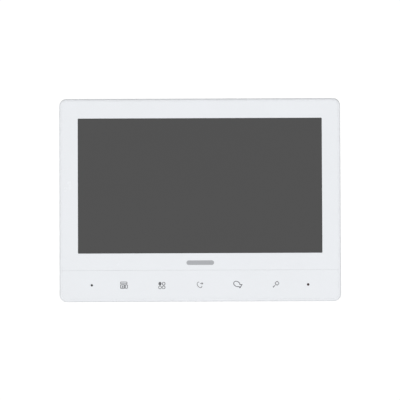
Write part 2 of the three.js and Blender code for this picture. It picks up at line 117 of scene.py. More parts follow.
def newObject(name, bm, material):
    bmesh.ops.remove_doubles(bm, verts=bm.verts, dist=1e-7)
    bmesh.ops.recalc_face_normals(bm, faces=bm.faces)
    mesh = bpy.data.meshes.new(name)
    bm.to_mesh(mesh)
    bm.free()
    mesh.materials.append(material)
    piece = bpy.data.objects.new(name, mesh)
    bpy.context.scene.collection.objects.link(piece)
    return piece


def addRings(bm, rings, closed=False):
    # quads from ring to ring; rings are (y, points), and an open stack gets its two end faces
    loops = [[bm.verts.new((x, y, z)) for x, z in points] for y, points in rings]
    pairs = list(zip(loops, loops[1:]))
    if closed:
        pairs.append((loops[-1], loops[0]))
    for a, b in pairs:
        for i in range(len(a)):
            j = (i + 1) % len(a)
            bm.faces.new((a[i], a[j], b[j], b[i]))
    if not closed:
        bm.faces.new(loops[0])
        bm.faces.new(loops[-1])


def ringPiece(name, rings, material, closed=False):
    bm = bmesh.new()
    addRings(bm, rings, closed)
    return newObject(name, bm, material)


def baked(piece):
    # the evaluated mesh, modifiers and all, as a plain mesh on a plain object
    bpy.context.view_layer.update()
    graph = bpy.context.evaluated_depsgraph_get()
    mesh = bpy.data.meshes.new_from_object(piece.evaluated_get(graph), depsgraph=graph)
    name = piece.name
    bpy.data.objects.remove(piece)
    plain = bpy.data.objects.new(name, mesh)
    mesh.name = name
    bpy.context.scene.collection.objects.link(plain)
    return plain


def smoothed(piece, angle=32):
    # smooth faces, crisp edges past the angle, and normals that leave the flats flat
    piece.data.shade_smooth()
    piece.data.set_sharp_from_angle(angle=math.radians(angle))
    weighted = piece.modifiers.new("weighted", "WEIGHTED_NORMAL")
    weighted.keep_sharp = True
    return baked(piece)


def bevelled(piece, width, segments=2, angle=35):
    bevel = piece.modifiers.new("bevel", "BEVEL")
    bevel.width = width
    bevel.segments = segments
    bevel.limit_method = "ANGLE"
    bevel.angle_limit = math.radians(angle)
    bevel.use_clamp_overlap = True
    return baked(piece)


def combined(piece, tools, operation):
    for tool in tools:
        step = piece.modifiers.new("step", "BOOLEAN")
        step.object = tool
        step.operation = operation
        step.solver = "EXACT"
    result = baked(piece)
    for tool in tools:
        bpy.data.objects.remove(tool)
    return result


def rodMesh(name, x, z, radius, front, back, material, count=32):
    points = circlePoints(x, z, radius, count)
    return ringPiece(name, [(front, points), (back, points)], material)


def boxMesh(name, x0, x1, y0, y1, z0, z1, material):
    points = [(x1, z1), (x0, z1), (x0, z0), (x1, z0)]
    return ringPiece(name, [(y0, points), (y1, points)], material)


def turnedMesh(name, profile, x, z, material, count=40):
    # a closed section of (radius, y) turned about an axis along y
    bm = bmesh.new()
    rings = []
    for radius, y in profile:
        if radius == 0:
            rings.append([bm.verts.new((x, y, z))])
        else:
            rings.append([bm.verts.new((px, y, pz)) for px, pz in circlePoints(x, z, radius, count)])
    pairs = list(zip(rings, rings[1:]))
    if profile[0][0] > 0:
        pairs.append((rings[-1], rings[0]))
    for a, b in pairs:
        for i in range(count):
            j = (i + 1) % count
            if len(a) == 1 and len(b) == 1:
                continue
            if len(a) == 1:
                bm.faces.new((a[0], b[j], b[i]))
            elif len(b) == 1:
                bm.faces.new((a[i], a[j], b[0]))
            else:
                bm.faces.new((a[i], a[j], b[j], b[i]))
    return newObject(name, bm, material)


def sized(lengths):
    # settings given in millimetres, turned to metres
    return {
        key: tuple(part * mm for part in value) if isinstance(value, tuple) else value * mm
        for key, value in lengths.items()
    }


def settle(piece, body, slot, *nodes):
    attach(piece, body)
    if nodes:
        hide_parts(*nodes)
    return piece


# geometry node trees

def feed(tree, node, inputs):
    # each input takes a value or another node's output
    for key, value in inputs.items():
        if isinstance(value, bpy.types.NodeSocket):
            tree.links.new(value, node.inputs[key])
        else:
            node.inputs[key].default_value = value
    return node


def addNode(tree, kind, inputs=None, **settings):
    node = tree.nodes.new(kind)
    for key, value in settings.items():
        setattr(node, key, value)
    return feed(tree, node, inputs or {})


def startTree(name, inputs):
    # inputs are (label, socket kind, default)
    tree = bpy.data.node_groups.new(name, "GeometryNodeTree")
    tree.interface.new_socket("Geometry", in_out="INPUT", socket_type="NodeSocketGeometry")
    for label, kind, default in inputs + [("Material", "Material", None)]:
        socket = tree.interface.new_socket(label, in_out="INPUT", socket_type="NodeSocket" + kind)
        if default is not None:
            socket.default_value = default
    tree.interface.new_socket("Geometry", in_out="OUTPUT", socket_type="NodeSocketGeometry")
    return tree, tree.nodes.new("NodeGroupInput").outputs


def endTree(tree, given, places, item, **put):
    # the item on every point, made real and painted
    inputs = {"Points": places, "Instance": item}
    inputs.update(put)
    copies = addNode(tree, "GeometryNodeInstanceOnPoints", inputs)
    real = addNode(tree, "GeometryNodeRealizeInstances", {0: copies.outputs[0]})
    painted = addNode(tree, "GeometryNodeSetMaterial", {
        "Geometry": real.outputs[0], "Material": given["Material"],
    })
    addNode(tree, "NodeGroupOutput", {0: painted.outputs[0]})
    return tree


def rowOf(tree, given):
    # points in a row, from the Count, Start and Pitch inputs
    return addNode(tree, "GeometryNodeMeshLine", {
        "Count": given["Count"], "Start Location": given["Start"], "Offset": given["Pitch"],
    }).outputs[0]


def sweptAlongY(tree, path, section):
    # a closed sweep of a path that climbs along Z, laid down to point along Y
    swept = addNode(tree, "GeometryNodeCurveToMesh", {
        "Curve": path, "Profile Curve": section, "Fill Caps": True,
    }).outputs[0]
    turn = (-math.pi / 2, 0, 0)
    return addNode(tree, "GeometryNodeTransform", {"Geometry": swept, "Rotation": turn}).outputs[0]


def chanceOf(tree, kind, inputs):
    return addNode(tree, "FunctionNodeRandomValue", inputs, data_type=kind)


def calculated(tree, operation, first, second=0.0):
    return addNode(tree, "ShaderNodeMath", {0: first, 1: second}, operation=operation).outputs[0]


def runTree(name, tree, values, places=((0, 0, 0),)):
    # evaluates the tree on a cloud of vertices and keeps the result as a plain mesh
    cloud = bpy.data.meshes.new(name)
    cloud.from_pydata([tuple(p) for p in places], [], [])
    host = bpy.data.objects.new(name, cloud)
    bpy.context.scene.collection.objects.link(host)
    modifier = host.modifiers.new(tree.name, "NODES")
    modifier.node_group = tree
    for item in tree.interface.items_tree:
        if item.in_out == "INPUT" and item.name in values:
            modifier[item.identifier] = values[item.name]
    return baked(host)


def slotTree():
    # a row of round-ended slots, each a closed bar along Y; Taper narrows those away from the Middle
    tree, given = startTree("slotRow", [
        ("Count", "Int", 5), ("Pitch", "Vector", (0, 0, 0)), ("Start", "Vector", (0, 0, 0)),
        ("Width", "Float", 0.01), ("Height", "Float", 0.002), ("Corner", "Float", 0.001),
        ("Depth", "Float", 0.003), ("Middle", "Float", 0.0), ("Taper", "Float", 0.0),
    ])
    outline = addNode(tree, "GeometryNodeCurvePrimitiveQuadrilateral", {
        "Width": given["Width"], "Height": given["Height"],
    })
    fillet = addNode(tree, "GeometryNodeFilletCurve", {
        "Curve": outline.outputs[0], "Radius": given["Corner"], "Count": 6,
    }, mode="POLY")
    reach = addNode(tree, "ShaderNodeCombineXYZ", {"Z": given["Depth"]})
    path = addNode(tree, "GeometryNodeCurvePrimitiveLine", {"End": reach.outputs[0]})
    bar = sweptAlongY(tree, path.outputs[0], fillet.outputs[0])
    place = addNode(tree, "GeometryNodeInputIndex").outputs[0]
    away = calculated(tree, "ABSOLUTE", calculated(tree, "SUBTRACT", place, given["Middle"]))
    width = calculated(tree, "SUBTRACT", 1.0, calculated(tree, "MULTIPLY", away, given["Taper"]))
    size = addNode(tree, "ShaderNodeCombineXYZ", {"X": width, "Y": 1.0, "Z": 1.0})
    return endTree(tree, given, rowOf(tree, given), bar, Scale=size.outputs[0])


def screwTree():
    # one screw on each vertex of the host, each turned a little differently
    tree, given = startTree("screwSet", [
        ("Screw", "Object", None), ("Size", "Float", 1.0), ("Turn", "Float", 3.1), ("Seed", "Int", 7),
    ])
    screw = addNode(tree, "GeometryNodeObjectInfo", {"Object": given["Screw"]})
    chance = chanceOf(tree, "FLOAT", {3: given["Turn"], "Seed": given["Seed"]})
    turn = addNode(tree, "ShaderNodeCombineXYZ", {"Y": chance.outputs[1]}).outputs[0]
    spots, item = given["Geometry"], screw.outputs["Geometry"]
    return endTree(tree, given, spots, item, Rotation=turn, Scale=given["Size"])


def springTree():
    # coil springs in a row, their axes along Y
    tree, given = startTree("springRow", [
        ("Count", "Int", 5), ("Pitch", "Vector", (0.02, 0, 0)), ("Start", "Vector", (0, 0, 0)),
        ("Radius", "Float", 0.003), ("Length", "Float", 0.003), ("Turns", "Float", 3.0),
        ("Wire", "Float", 0.0002),
    ])
    coil = addNode(tree, "GeometryNodeCurveSpiral", {
        "Resolution": 24, "Rotations": given["Turns"], "Height": given["Length"],
        "Start Radius": given["Radius"], "End Radius": given["Radius"],
    })
    wire = addNode(tree, "GeometryNodeCurvePrimitiveCircle", {"Resolution": 8, "Radius": given["Wire"]})
    return endTree(tree, given, rowOf(tree, given), sweptAlongY(tree, coil.outputs[0], wire.outputs[0]))


def pinTree():
    # square contact pins in a row, pointing along Y
    tree, given = startTree("pinRow", [
        ("Count", "Int", 4), ("Pitch", "Vector", (0.0025, 0, 0)), ("Start", "Vector", (0, 0, 0)),
        ("Size", "Vector", (0.0006, 0.004, 0.0006)),
    ])
    pin = addNode(tree, "GeometryNodeMeshCube", {"Size": given["Size"]})
    return endTree(tree, given, rowOf(tree, given), pin.outputs[0])


def smallPartTree():
    # small soldered parts on a grid of places, some left out, some turned upright
    tree, given = startTree("smallParts", [
        ("Part", "Object", None), ("Left Out", "Float", 0.3), ("Seed", "Int", 3),
    ])
    part = addNode(tree, "GeometryNodeObjectInfo", {"Object": given["Part"]})
    keep = chanceOf(tree, "FLOAT", {"Seed": given["Seed"]}).outputs[1]
    shares = {0: keep, 1: given["Left Out"]}
    kept = addNode(tree, "FunctionNodeCompare", shares, operation="GREATER_THAN").outputs[0]
    quarter = chanceOf(tree, "INT", {4: 0, 5: 1, "Seed": given["Seed"]}).outputs[2]
    angle = calculated(tree, "MULTIPLY", quarter, math.pi / 2)
    turn = addNode(tree, "ShaderNodeCombineXYZ", {"Y": angle}).outputs[0]
    return endTree(tree, given, given["Geometry"], part.outputs["Geometry"], Selection=kept, Rotation=turn)


slotRow, screwSet, springRow = slotTree(), screwTree(), springTree()
pinRow, smallParts = pinTree(), smallPartTree()
print("node trees built")


# finishes

def startFinish(name, look):
    # shader with its constant settings, and Object coordinates stretched as the finish asks
    material = bpy.data.materials.new(name)
    material.use_nodes = True
    tree = material.node_tree
    shader = feed(tree, tree.nodes["Principled BSDF"], {
        "Metallic": look.get("metallic", 0), "IOR": look.get("ior", 1.48),
        "Coat Weight": look.get("coat", 0), "Coat Roughness": look.get("coatRough", 0.08),
    })
    place = addNode(tree, "ShaderNodeTexCoord").outputs["Object"]
    stretched = addNode(tree, "ShaderNodeMapping", {"Vector": place, "Scale": look.get("stretch", (1, 1, 1))})
    return material, tree, shader, stretched.outputs[0]


def noise(tree, vector, scale, detail=3.0, rough=0.5):
    return addNode(tree, "ShaderNodeTexNoise", {
        "Vector": vector, "Scale": scale, "Detail": detail, "Roughness": rough,
    }).outputs["Fac"]


def cells(tree, vector, scale):
    return addNode(tree, "ShaderNodeTexVoronoi", {"Vector": vector, "Scale": scale})


def spread(tree, value, low, high, fromLow=0.3, fromHigh=0.7):
    return addNode(tree, "ShaderNodeMapRange", {
        "Value": value, "From Min": fromLow, "From Max": fromHigh, "To Min": low, "To Max": high,
    }).outputs["Result"]


def blendColours(tree, factor, first, second):
    # either colour may be a plain triple or another node's output
    ends = [(*colour, 1) if isinstance(colour, tuple) else colour for colour in (first, second)]
    return addNode(tree, "ShaderNodeMix", {0: factor, 6: ends[0], 7: ends[1]}, data_type="RGBA").outputs[2]


def relief(tree, shader, height, strength, distance):
    bump = addNode(tree, "ShaderNodeBump", {"Strength": strength, "Distance": distance, "Height": height})
    feed(tree, shader, {"Normal": bump.outputs[0]})


def paint(tree, shader, colour, gloss, look):
    feed(tree, shader, {"Base Color": colour, "Roughness": spread(tree, gloss, *look["rough"])})


def plainFinish(name, look):
    # mottled colour, uneven gloss and a fine surface grain
    material, tree, shader, vector = startFinish(name, look)
    patch = spread(tree, noise(tree, vector, look["patchScale"], 4), 0, 1)
    wear = noise(tree, vector, look["patchScale"] * 2.3, 5, 0.6)
    colour = blendColours(tree, patch, look["colour"], look["shade"])
    paint(tree, shader, colour, wear, look)
    grain = noise(tree, vector, look["grainScale"], 2)
    relief(tree, shader, grain, look["grain"], look.get("grainDepth", 0.00002))
    return material


finishLooks = {
    "whiteGloss": {
        "colour": (0.835, 0.855, 0.885), "shade": (0.822, 0.842, 0.868), "patchScale": 22,
        "rough": (0.2, 0.28), "grainScale": 420, "grain": 0.05, "coat": 0.25, "coatRough": 0.06,
    },
    "whiteRim": {
        "colour": (0.835, 0.855, 0.885), "shade": (0.81, 0.83, 0.855), "patchScale": 40,
        "rough": (0.24, 0.34), "grainScale": 900, "grain": 0.06,
    },
    "whiteTextured": {
        "colour": (0.78, 0.795, 0.815), "shade": (0.75, 0.765, 0.785), "patchScale": 30,
        "rough": (0.42, 0.55), "grainScale": 3200, "grain": 0.35, "grainDepth": 0.00004,
    },
    "inkGrey": {
        "colour": (0.125, 0.127, 0.14), "shade": (0.15, 0.152, 0.165), "patchScale": 900,
        "rough": (0.35, 0.45), "grainScale": 3000, "grain": 0.04,
    },
    "inkPale": {
        "colour": (0.4, 0.41, 0.43), "shade": (0.43, 0.44, 0.46), "patchScale": 900,
        "rough": (0.35, 0.45), "grainScale": 3000, "grain": 0.04,
    },
    "smokedLens": {
        "colour": (0.035, 0.014, 0.012), "shade": (0.05, 0.018, 0.014), "patchScale": 900,
        "rough": (0.12, 0.2), "grainScale": 4000, "grain": 0.03,
    },
    "nickelSteel": {
        "colour": (0.74, 0.74, 0.75), "shade": (0.62, 0.62, 0.64), "patchScale": 500, "metallic": 1,
        "rough": (0.2, 0.34), "grainScale": 2600, "grain": 0.1, "stretch": (1, 0.2, 1),
    },
    "springGold": {
        "colour": (0.7, 0.5, 0.22), "shade": (0.6, 0.42, 0.18), "patchScale": 700, "metallic": 1,
        "rough": (0.18, 0.3), "grainScale": 3000, "grain": 0.05,
    },
    "chipBlack": {
        "colour": (0.012, 0.012, 0.013), "shade": (0.02, 0.02, 0.022), "patchScale": 400,
        "rough": (0.4, 0.55), "grainScale": 6000, "grain": 0.2,
    },
    "ferriteGrey": {
        "colour": (0.03, 0.03, 0.033), "shade": (0.05, 0.05, 0.052), "patchScale": 600,
        "rough": (0.6, 0.75), "grainScale": 5000, "grain": 0.35,
    },
    "nylonIvory": {
        "colour": (0.78, 0.74, 0.63), "shade": (0.74, 0.69, 0.57), "patchScale": 200,
        "rough": (0.38, 0.5), "grainScale": 3500, "grain": 0.12,
    },
    "foamBlack": {
        "colour": (0.012, 0.012, 0.012), "shade": (0.03, 0.03, 0.03), "patchScale": 2500,
        "rough": (0.85, 0.95), "grainScale": 4200, "grain": 0.7, "grainDepth": 0.0001,
    },
    "rubberBlack": {
        "colour": (0.015, 0.015, 0.015), "shade": (0.024, 0.024, 0.024), "patchScale": 500,
        "rough": (0.65, 0.8), "grainScale": 5000, "grain": 0.2,
    },
    "conePaper": {
        "colour": (0.02, 0.018, 0.017), "shade": (0.045, 0.04, 0.036), "patchScale": 1400,
        "rough": (0.8, 0.92), "grainScale": 3800, "grain": 0.6, "grainDepth": 0.00006,
    },
    "drawnAluminium": {
        "colour": (0.66, 0.67, 0.68), "shade": (0.58, 0.59, 0.6), "patchScale": 300, "metallic": 1,
        "rough": (0.28, 0.42), "grainScale": 1800, "grain": 0.1, "stretch": (1, 0.15, 1),
    },
    "polariserFilm": {
        "colour": (0.03, 0.03, 0.032), "shade": (0.038, 0.037, 0.042), "patchScale": 30,
        "rough": (0.28, 0.36), "grainScale": 7000, "grain": 0.05,
    },
}
finish = {name: plainFinish(name, look) for name, look in finishLooks.items()}


def screenGlass():
    # hard clear window over a dark display: near-even grey with faint wipe marks in the gloss
    look = {
        "colour": (0.0655, 0.0655, 0.0655), "shade": (0.067, 0.067, 0.067), "patchScale": 9,
        "rough": (0.05, 0.09), "wipeScale": 14, "stretch": (1, 1, 3.5), "ior": 1.5,
    }
    material, tree, shader, vector = startFinish("screenGlass", look)
    patch = spread(tree, noise(tree, vector, look["patchScale"], 2), 0, 1)
    wipe = noise(tree, vector, look["wipeScale"], 6, 0.62)
    colour = blendColours(tree, patch, look["colour"], look["shade"])
    paint(tree, shader, colour, wipe, look)
    return material


def platedBracket():
    # zinc-plated sheet: rolling lines along X under soft spangle patches
    look = {
        "metallic": 1, "stretch": (1, 1, 26), "bright": (0.74, 0.75, 0.76), "dull": (0.64, 0.65, 0.67),
        "spangleScale": 420, "lineScale": 60, "rough": (0.27, 0.42),
    }
    material, tree, shader, vector = startFinish("zincPlate", look)
    place = addNode(tree, "ShaderNodeTexCoord").outputs["Object"]
    spangle = cells(tree, place, look["spangleScale"]).outputs["Color"]
    patch = addNode(tree, "ShaderNodeSeparateColor", {0: spangle}).outputs[0]
    lines = noise(tree, vector, look["lineScale"], 5, 0.7)
    colour = blendColours(tree, spread(tree, patch, 0.15, 0.85, 0, 1), look["bright"], look["dull"])
    paint(tree, shader, colour, lines, look)
    relief(tree, shader, lines, 0.15, 0.00002)
    return material


def trackPattern(tree, along, across, look):
    # thin parallel tracks: the joints of a long, low brick pattern
    flat = addNode(tree, "ShaderNodeCombineXYZ", {"X": along, "Y": across})
    return addNode(tree, "ShaderNodeTexBrick", {
        "Vector": flat.outputs[0], "Scale": look["trackScale"], "Brick Width": look["trackLength"],
        "Row Height": look["trackPitch"], "Mortar Size": look["trackWidth"], "Mortar Smooth": 0.1,
    }, offset=0.37).outputs["Fac"]


def solderMask():
    # green mask over fine tracks that run along the board here and across it there, with plated vias
    look = {
        "mask": (0.008, 0.075, 0.03), "track": (0.022, 0.15, 0.06), "via": (0.5, 0.45, 0.3),
        "rough": (0.26, 0.38), "trackScale": 210, "trackLength": 2.3, "trackPitch": 0.21,
        "trackWidth": 0.028, "viaScale": 300, "fieldScale": 95,
    }
    material, tree, shader, vector = startFinish("boardGreen", look)
    axes = addNode(tree, "ShaderNodeSeparateXYZ", {0: vector}).outputs
    field = spread(tree, noise(tree, vector, look["fieldScale"], 0), 0, 1, 0.5, 0.505)
    along = trackPattern(tree, axes["X"], axes["Z"], look)
    across = trackPattern(tree, axes["Z"], axes["X"], look)
    tracks = addNode(tree, "ShaderNodeMix", {0: field, 2: along, 3: across}).outputs[0]
    board = blendColours(tree, tracks, look["mask"], look["track"])
    via = spread(tree, cells(tree, vector, look["viaScale"]).outputs["Distance"], 1, 0, 0.11, 0.15)
    colour = blendColours(tree, via, board, look["via"])
    paint(tree, shader, colour, noise(tree, vector, 300), look)
    relief(tree, shader, tracks, 0.3, 0.00003)
    return material


def flexFilm():
    # amber film with copper lines running along the lead
    look = {"film": (0.42, 0.19, 0.035), "copper": (0.62, 0.33, 0.1), "lineScale": 250, "rough": (0.25, 0.38)}
    material, tree, shader, vector = startFinish("flexAmber", look)
    wave = {"Vector": vector, "Scale": look["lineScale"]}
    bands = addNode(tree, "ShaderNodeTexWave", wave, bands_direction="X").outputs["Fac"]
    lines = spread(tree, bands, 0, 1, 0.45, 0.55)
    colour = blendColours(tree, lines, look["film"], look["copper"])
    paint(tree, shader, colour, noise(tree, vector, 260), look)
    relief(tree, shader, bands, 0.2, 0.00002)
    return material


def chipEnds():
    # ceramic body with tinned ends, told apart by the end attribute of the mesh
    look = {"body": (0.02, 0.018, 0.017), "end": (0.58, 0.58, 0.57), "rough": (0.3, 0.45)}
    material, tree, shader, vector = startFinish("smallPartEnds", look)
    ends = addNode(tree, "ShaderNodeAttribute", attribute_name="end").outputs["Fac"]
    colour = blendColours(tree, ends, look["body"], look["end"])
    paint(tree, shader, colour, noise(tree, vector, 900), look)
    return material


def capsuleCan():
    # drawn can whose front is covered by black felt
    look = {
        "metallic": 1, "stretch": (1, 0.15, 1), "felt": (0.008, 0.008, 0.008), "can": (0.64, 0.65, 0.66),
        "feltDepth": 0.12 * mm, "rough": (0.3, 0.42),
    }
    material, tree, shader, vector = startFinish("capsuleCan", look)
    place = addNode(tree, "ShaderNodeTexCoord").outputs["Object"]
    depth = addNode(tree, "ShaderNodeSeparateXYZ", {0: place}).outputs["Y"]
    front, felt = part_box("mic_capsule")[0].y, look["feltDepth"]
    factor = spread(tree, depth, 0, 1, front + felt, front + felt * 1.2)
    colour = blendColours(tree, factor, look["felt"], look["can"])
    paint(tree, shader, colour, noise(tree, vector, 900), look)
    return material


finish.update({
    "screenGlass": screenGlass(), "zincPlate": platedBracket(), "boardGreen": solderMask(),
    "flexAmber": flexFilm(), "smallPartEnds": chipEnds(), "capsuleCan": capsuleCan(),
})
print("finishes:", len(finish))


# front frame and panels

outlineRadius = 4.6 * mm
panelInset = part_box("screen_panel")[0].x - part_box("front_frame")[0].x


def frontFrame():
    made = sized({
        "rimRound": 1.6, "wall": 2, "deckFront": -18.3, "deckBack": -16.8,
        "windowSide": 0.6, "windowEnd": 0.5, "insideRadius": 2.6, "keyOpening": 4.2,
        "bootOpening": 3.2, "lensOpening": 1.9, "bossRadius": 2.2, "bossBack": -11.7,
        "postRadius": 2.6, "postBack": -9.8, "boreFront": -15.6, "bossBore": 1.05,
        "postBore": 1.35, "ribHalf": 0.6, "tabs": (-50, 0, 50), "tabHalf": 6.5,
        "tabFront": -14.6, "tabBack": -13, "panelGap": 0.1,
    })
    low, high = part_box("front_frame")
    white = finish["whiteRim"]
    land = panelInset - made["panelGap"]

    def ring(inset, y, radius):
        return y, roundedRect(*nodeRect("front_frame", inset), radius, steps=14)

    section = softProfile([
        (0, high.y, 0.2 * mm), (0, low.y, made["rimRound"]),
        (land, low.y, 0.06 * mm), (land, made["deckFront"], 0),
    ], steps=12)
    rings = [ring(inset, y, max(outlineRadius - inset, 0.3 * mm)) for inset, y in section]
    wx0, wx1, wz0, wz1 = nodeRect("display_window", 1.8 * mm)
    side, end, wall = made["windowSide"], made["windowEnd"], made["wall"]
    for y in (made["deckFront"], made["deckBack"]):
        rings.append((y, roundedRect(wx0 - side, wx1 + side, wz0 - end, wz1 + end, 0.8 * mm, steps=14)))
    rings += [ring(wall, made["deckBack"], made["insideRadius"]), ring(wall, high.y, made["insideRadius"])]
    body = ringPiece("frontFrame", rings, white, closed=True)

    root, bore = made["deckBack"] - 0.2 * mm, made["boreFront"]
    adds, cuts = [], []
    for spot in map(centreOf, eachOf("chassis_screw", 6)):
        edge = (high.x - wall + 0.5 * mm) * (1 if spot.x > 0 else -1)
        x0, x1 = sorted((spot.x, edge))
        z0, z1 = spot.z - made["ribHalf"], spot.z + made["ribHalf"]
        adds.append(rodMesh("boss", spot.x, spot.z, made["bossRadius"], root, made["bossBack"], white, 28))
        adds.append(boxMesh("rib", x0, x1, root, made["bossBack"], z0, z1, white))
        cuts.append(rodMesh("bore", spot.x, spot.z, made["bossBore"], bore, made["bossBack"] + mm, white, 20))
    for spot in map(centreOf, eachOf("rear_screw", 4)):
        adds.append(rodMesh("post", spot.x, spot.z, made["postRadius"], root, made["postBack"], white, 28))
        cuts.append(rodMesh("bore", spot.x, spot.z, made["postBore"], bore, made["postBack"] + mm, white, 20))
    openings = [(node, made["keyOpening"]) for node in eachOf("touch_spring", 5)]
    openings += [("mic_boot", made["bootOpening"]), ("indicator_lens", made["lensOpening"])]
    for node, radius in openings:
        spot = centreOf(node)
        cuts.append(rodMesh("opening", spot.x, spot.z, radius, low.y, made["deckBack"] + mm, white, 36))
    half, inner = made["tabHalf"], high.z - wall
    z0, z1 = inner - 0.5 * mm, inner + 0.7 * mm
    for x in made["tabs"]:
        cuts.append(boxMesh("pocket", x - half, x + half, made["tabFront"], made["tabBack"], z0, z1, white))
    return combined(combined(body, adds, "UNION"), cuts, "DIFFERENCE")


settle(smoothed(frontFrame()), "monitor", "white_gloss", "front_frame")


def screenPanel():
    made = sized({
        "edge": 0.06, "cornerLow": 0.2, "openingRadius": 0.45, "closeUp": 0.09,
        "seam": 0.035, "sunk": 0.02, "step": 1.9, "stepDepth": 1.0,
    })
    low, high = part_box("screen_panel")
    front = low.y + made["sunk"]
    grow, drop = made["closeUp"], made["seam"]
    wx0, wx1, wz0, wz1 = nodeRect("display_window", 1.8 * mm)
    steps = 12

    def outer(inset, y):
        lower = max(made["cornerLow"] - inset, 0.02 * mm)
        upper = outlineRadius - panelInset + grow - inset
        x0, x1, _, z1 = nodeRect("screen_panel", inset - grow)
        return y, roundedRect(x0, x1, low.z + inset - drop, z1, lower, upper, steps)

    def opening(inset, y):
        r = made["openingRadius"] + inset
        return y, roundedRect(wx0 - inset, wx1 + inset, wz0 - inset, wz1 + inset, r, steps=steps)

    edge = made["edge"]
    half = [i * math.pi / 8 for i in range(5)]
    rings = [outer(0, high.y), outer(0, front + edge)]
    rings += [outer(edge * (1 - math.cos(a)), front + edge * (1 - math.sin(a))) for a in half[1:]]
    rings += [opening(edge * (1 - math.sin(a)), front + edge * (1 - math.cos(a))) for a in half]
    step, ledge = made["step"], low.y + made["stepDepth"]
    rings += [opening(0, ledge), opening(step, ledge), opening(step, high.y)]
    return ringPiece("screenPanel", rings, finish["whiteGloss"], closed=True)


settle(smoothed(screenPanel()), "monitor", "white_gloss", "screen_panel")


def touchPanel():
    made = sized({
        "edge": 0.06, "cornerTop": 0.2, "sunk": 0.02, "micHole": 0.72, "lensHole": 0.8,
        "closeUp": 0.09, "seam": 0.035,
    })
    low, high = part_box("touch_panel")
    front = low.y + made["sunk"]
    grow, rise = made["closeUp"], made["seam"]
    steps = 12

    def ring(inset, y):
        lower = outlineRadius - panelInset + grow - inset
        upper = max(made["cornerTop"] - inset, 0.02 * mm)
        x0, x1, z0, _ = nodeRect("touch_panel", inset - grow)
        return y, roundedRect(x0, x1, z0, high.z - inset + rise, lower, upper, steps)

    edge = made["edge"]
    arcs = [i * math.pi / 8 for i in range(5)]
    rings = [ring(edge * (1 - math.cos(a)), front + edge * (1 - math.sin(a))) for a in arcs[::-1]]
    rings.append(ring(0, high.y))
    white = finish["whiteGloss"]
    panel = ringPiece("touchPanel", rings, white)
    cutters = []
    for node, radius in (("mic_boot", made["micHole"]), ("indicator_lens", made["lensHole"])):
        spot = centreOf(node)
        cutters.append(rodMesh("cutter", spot.x, spot.z, radius, front - mm, high.y + mm, white, 40))
    return combined(panel, cutters, "DIFFERENCE")


settle(smoothed(touchPanel()), "monitor", "white_gloss", "touch_panel")


def displayWindow():
    made = sized({
        "edge": 0.08, "corner": 0.35, "flange": 1.9, "flangeFront": 1.0, "flangeCorner": 0.7,
    })
    low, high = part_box("display_window")

    def ring(inset, y, corner):
        return y, roundedRect(*nodeRect("display_window", inset), corner, steps=10)

    flange, edge, ledge = made["flange"], made["edge"], low.y + made["flangeFront"]
    arcs = [i * math.pi / 8 for i in range(5)]
    rings = [
        ring(flange + edge * (1 - math.cos(a)), low.y + edge * (1 - math.sin(a)), made["corner"])
        for a in arcs[::-1]
    ]
    rings.append(ring(flange, ledge, made["corner"]))
    rings += [ring(0, ledge, made["flangeCorner"]), ring(0, high.y, made["flangeCorner"])]
    return ringPiece("displayWindow", rings, finish["screenGlass"])


settle(smoothed(displayWindow()), "monitor", "clear_window", "display_window")
print("front frame, panels and window made")


# printed symbols

ink = sized({"front": 0.004, "thickness": 0.018, "layer": 0.003, "stroke": 0.42})


def inkSolid(bm, outer, hole=None, layer=0):
    # a flat print, its hole in step with its outline; prints that cross lie on layers of their own
    y0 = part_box("touch_panel")[0].y + ink["front"] + layer * ink["layer"]
    y1 = y0 + ink["thickness"]
    if hole is None:
        addRings(bm, [(y0, outer), (y1, outer)])
    else:
        addRings(bm, [(y0, outer), (y1, outer), (y1, hole), (y0, hole)], closed=True)


def inkRing(bm, x, z, radius, stroke):
    inkSolid(bm, circlePoints(x, z, radius), circlePoints(x, z, radius - stroke))


def inkFrame(bm, x, z, width, height, radius, stroke):
    half, tall = width / 2, height / 2
    outer = roundedRect(x - half, x + half, z - tall, z + tall, radius, steps=5)
    inside = max(radius - stroke, 0.05 * mm)
    half, tall = half - stroke, tall - stroke
    inkSolid(bm, outer, roundedRect(x - half, x + half, z - tall, z + tall, inside, steps=5))


def inkLine(bm, points, stroke, layer=0):
    # an open stroke of even width in one closed outline, its ends cut square
    left, right = [], []
    for i, point in enumerate(points):
        here = Vector(point)
        ahead = (Vector(points[min(i + 1, len(points) - 1)]) - here)
        behind = (here - Vector(points[max(i - 1, 0)]))
        ahead = ahead.normalized() if ahead.length > 0 else behind.normalized()
        behind = behind.normalized() if behind.length > 0 else ahead
        along = (ahead + behind).normalized()
        normal = Vector((-along.y, along.x))
        reach = stroke / 2 / max(normal.dot(Vector((-ahead.y, ahead.x))), 0.5)
        left.append(tuple(here + normal * reach))
        right.append(tuple(here - normal * reach))
    inkSolid(bm, left + right[::-1], layer=layer)


def millimetres(points, x=0.0, z=0.0):
    # points given in millimetres about a place
    return [(px * mm + x, pz * mm + z) for px, pz in points]


def through(points, steps=6):
    # a smooth curve through the given points
    path = []
    last = len(points) - 1
    for i in range(last):
        p0, p1, p2, p3 = (Vector(points[k]) for k in (max(i - 1, 0), i, i + 1, min(i + 2, last)))
        for step in range(steps):
            t = step / steps
            path.append(tuple(
                0.5 * (2 * p1 + (p2 - p0) * t + (2 * p0 - 5 * p1 + 4 * p2 - p3) * t * t
                       + (3 * p1 - p0 - 3 * p2 + p3) * t ** 3)
            ))
    path.append(tuple(points[-1]))
    return path


def turnedPoints(points, degrees, x, z):
    c, s = math.cos(math.radians(degrees)), math.sin(math.radians(degrees))
    return [(x + px * c - pz * s, z + px * s + pz * c) for px, pz in points]


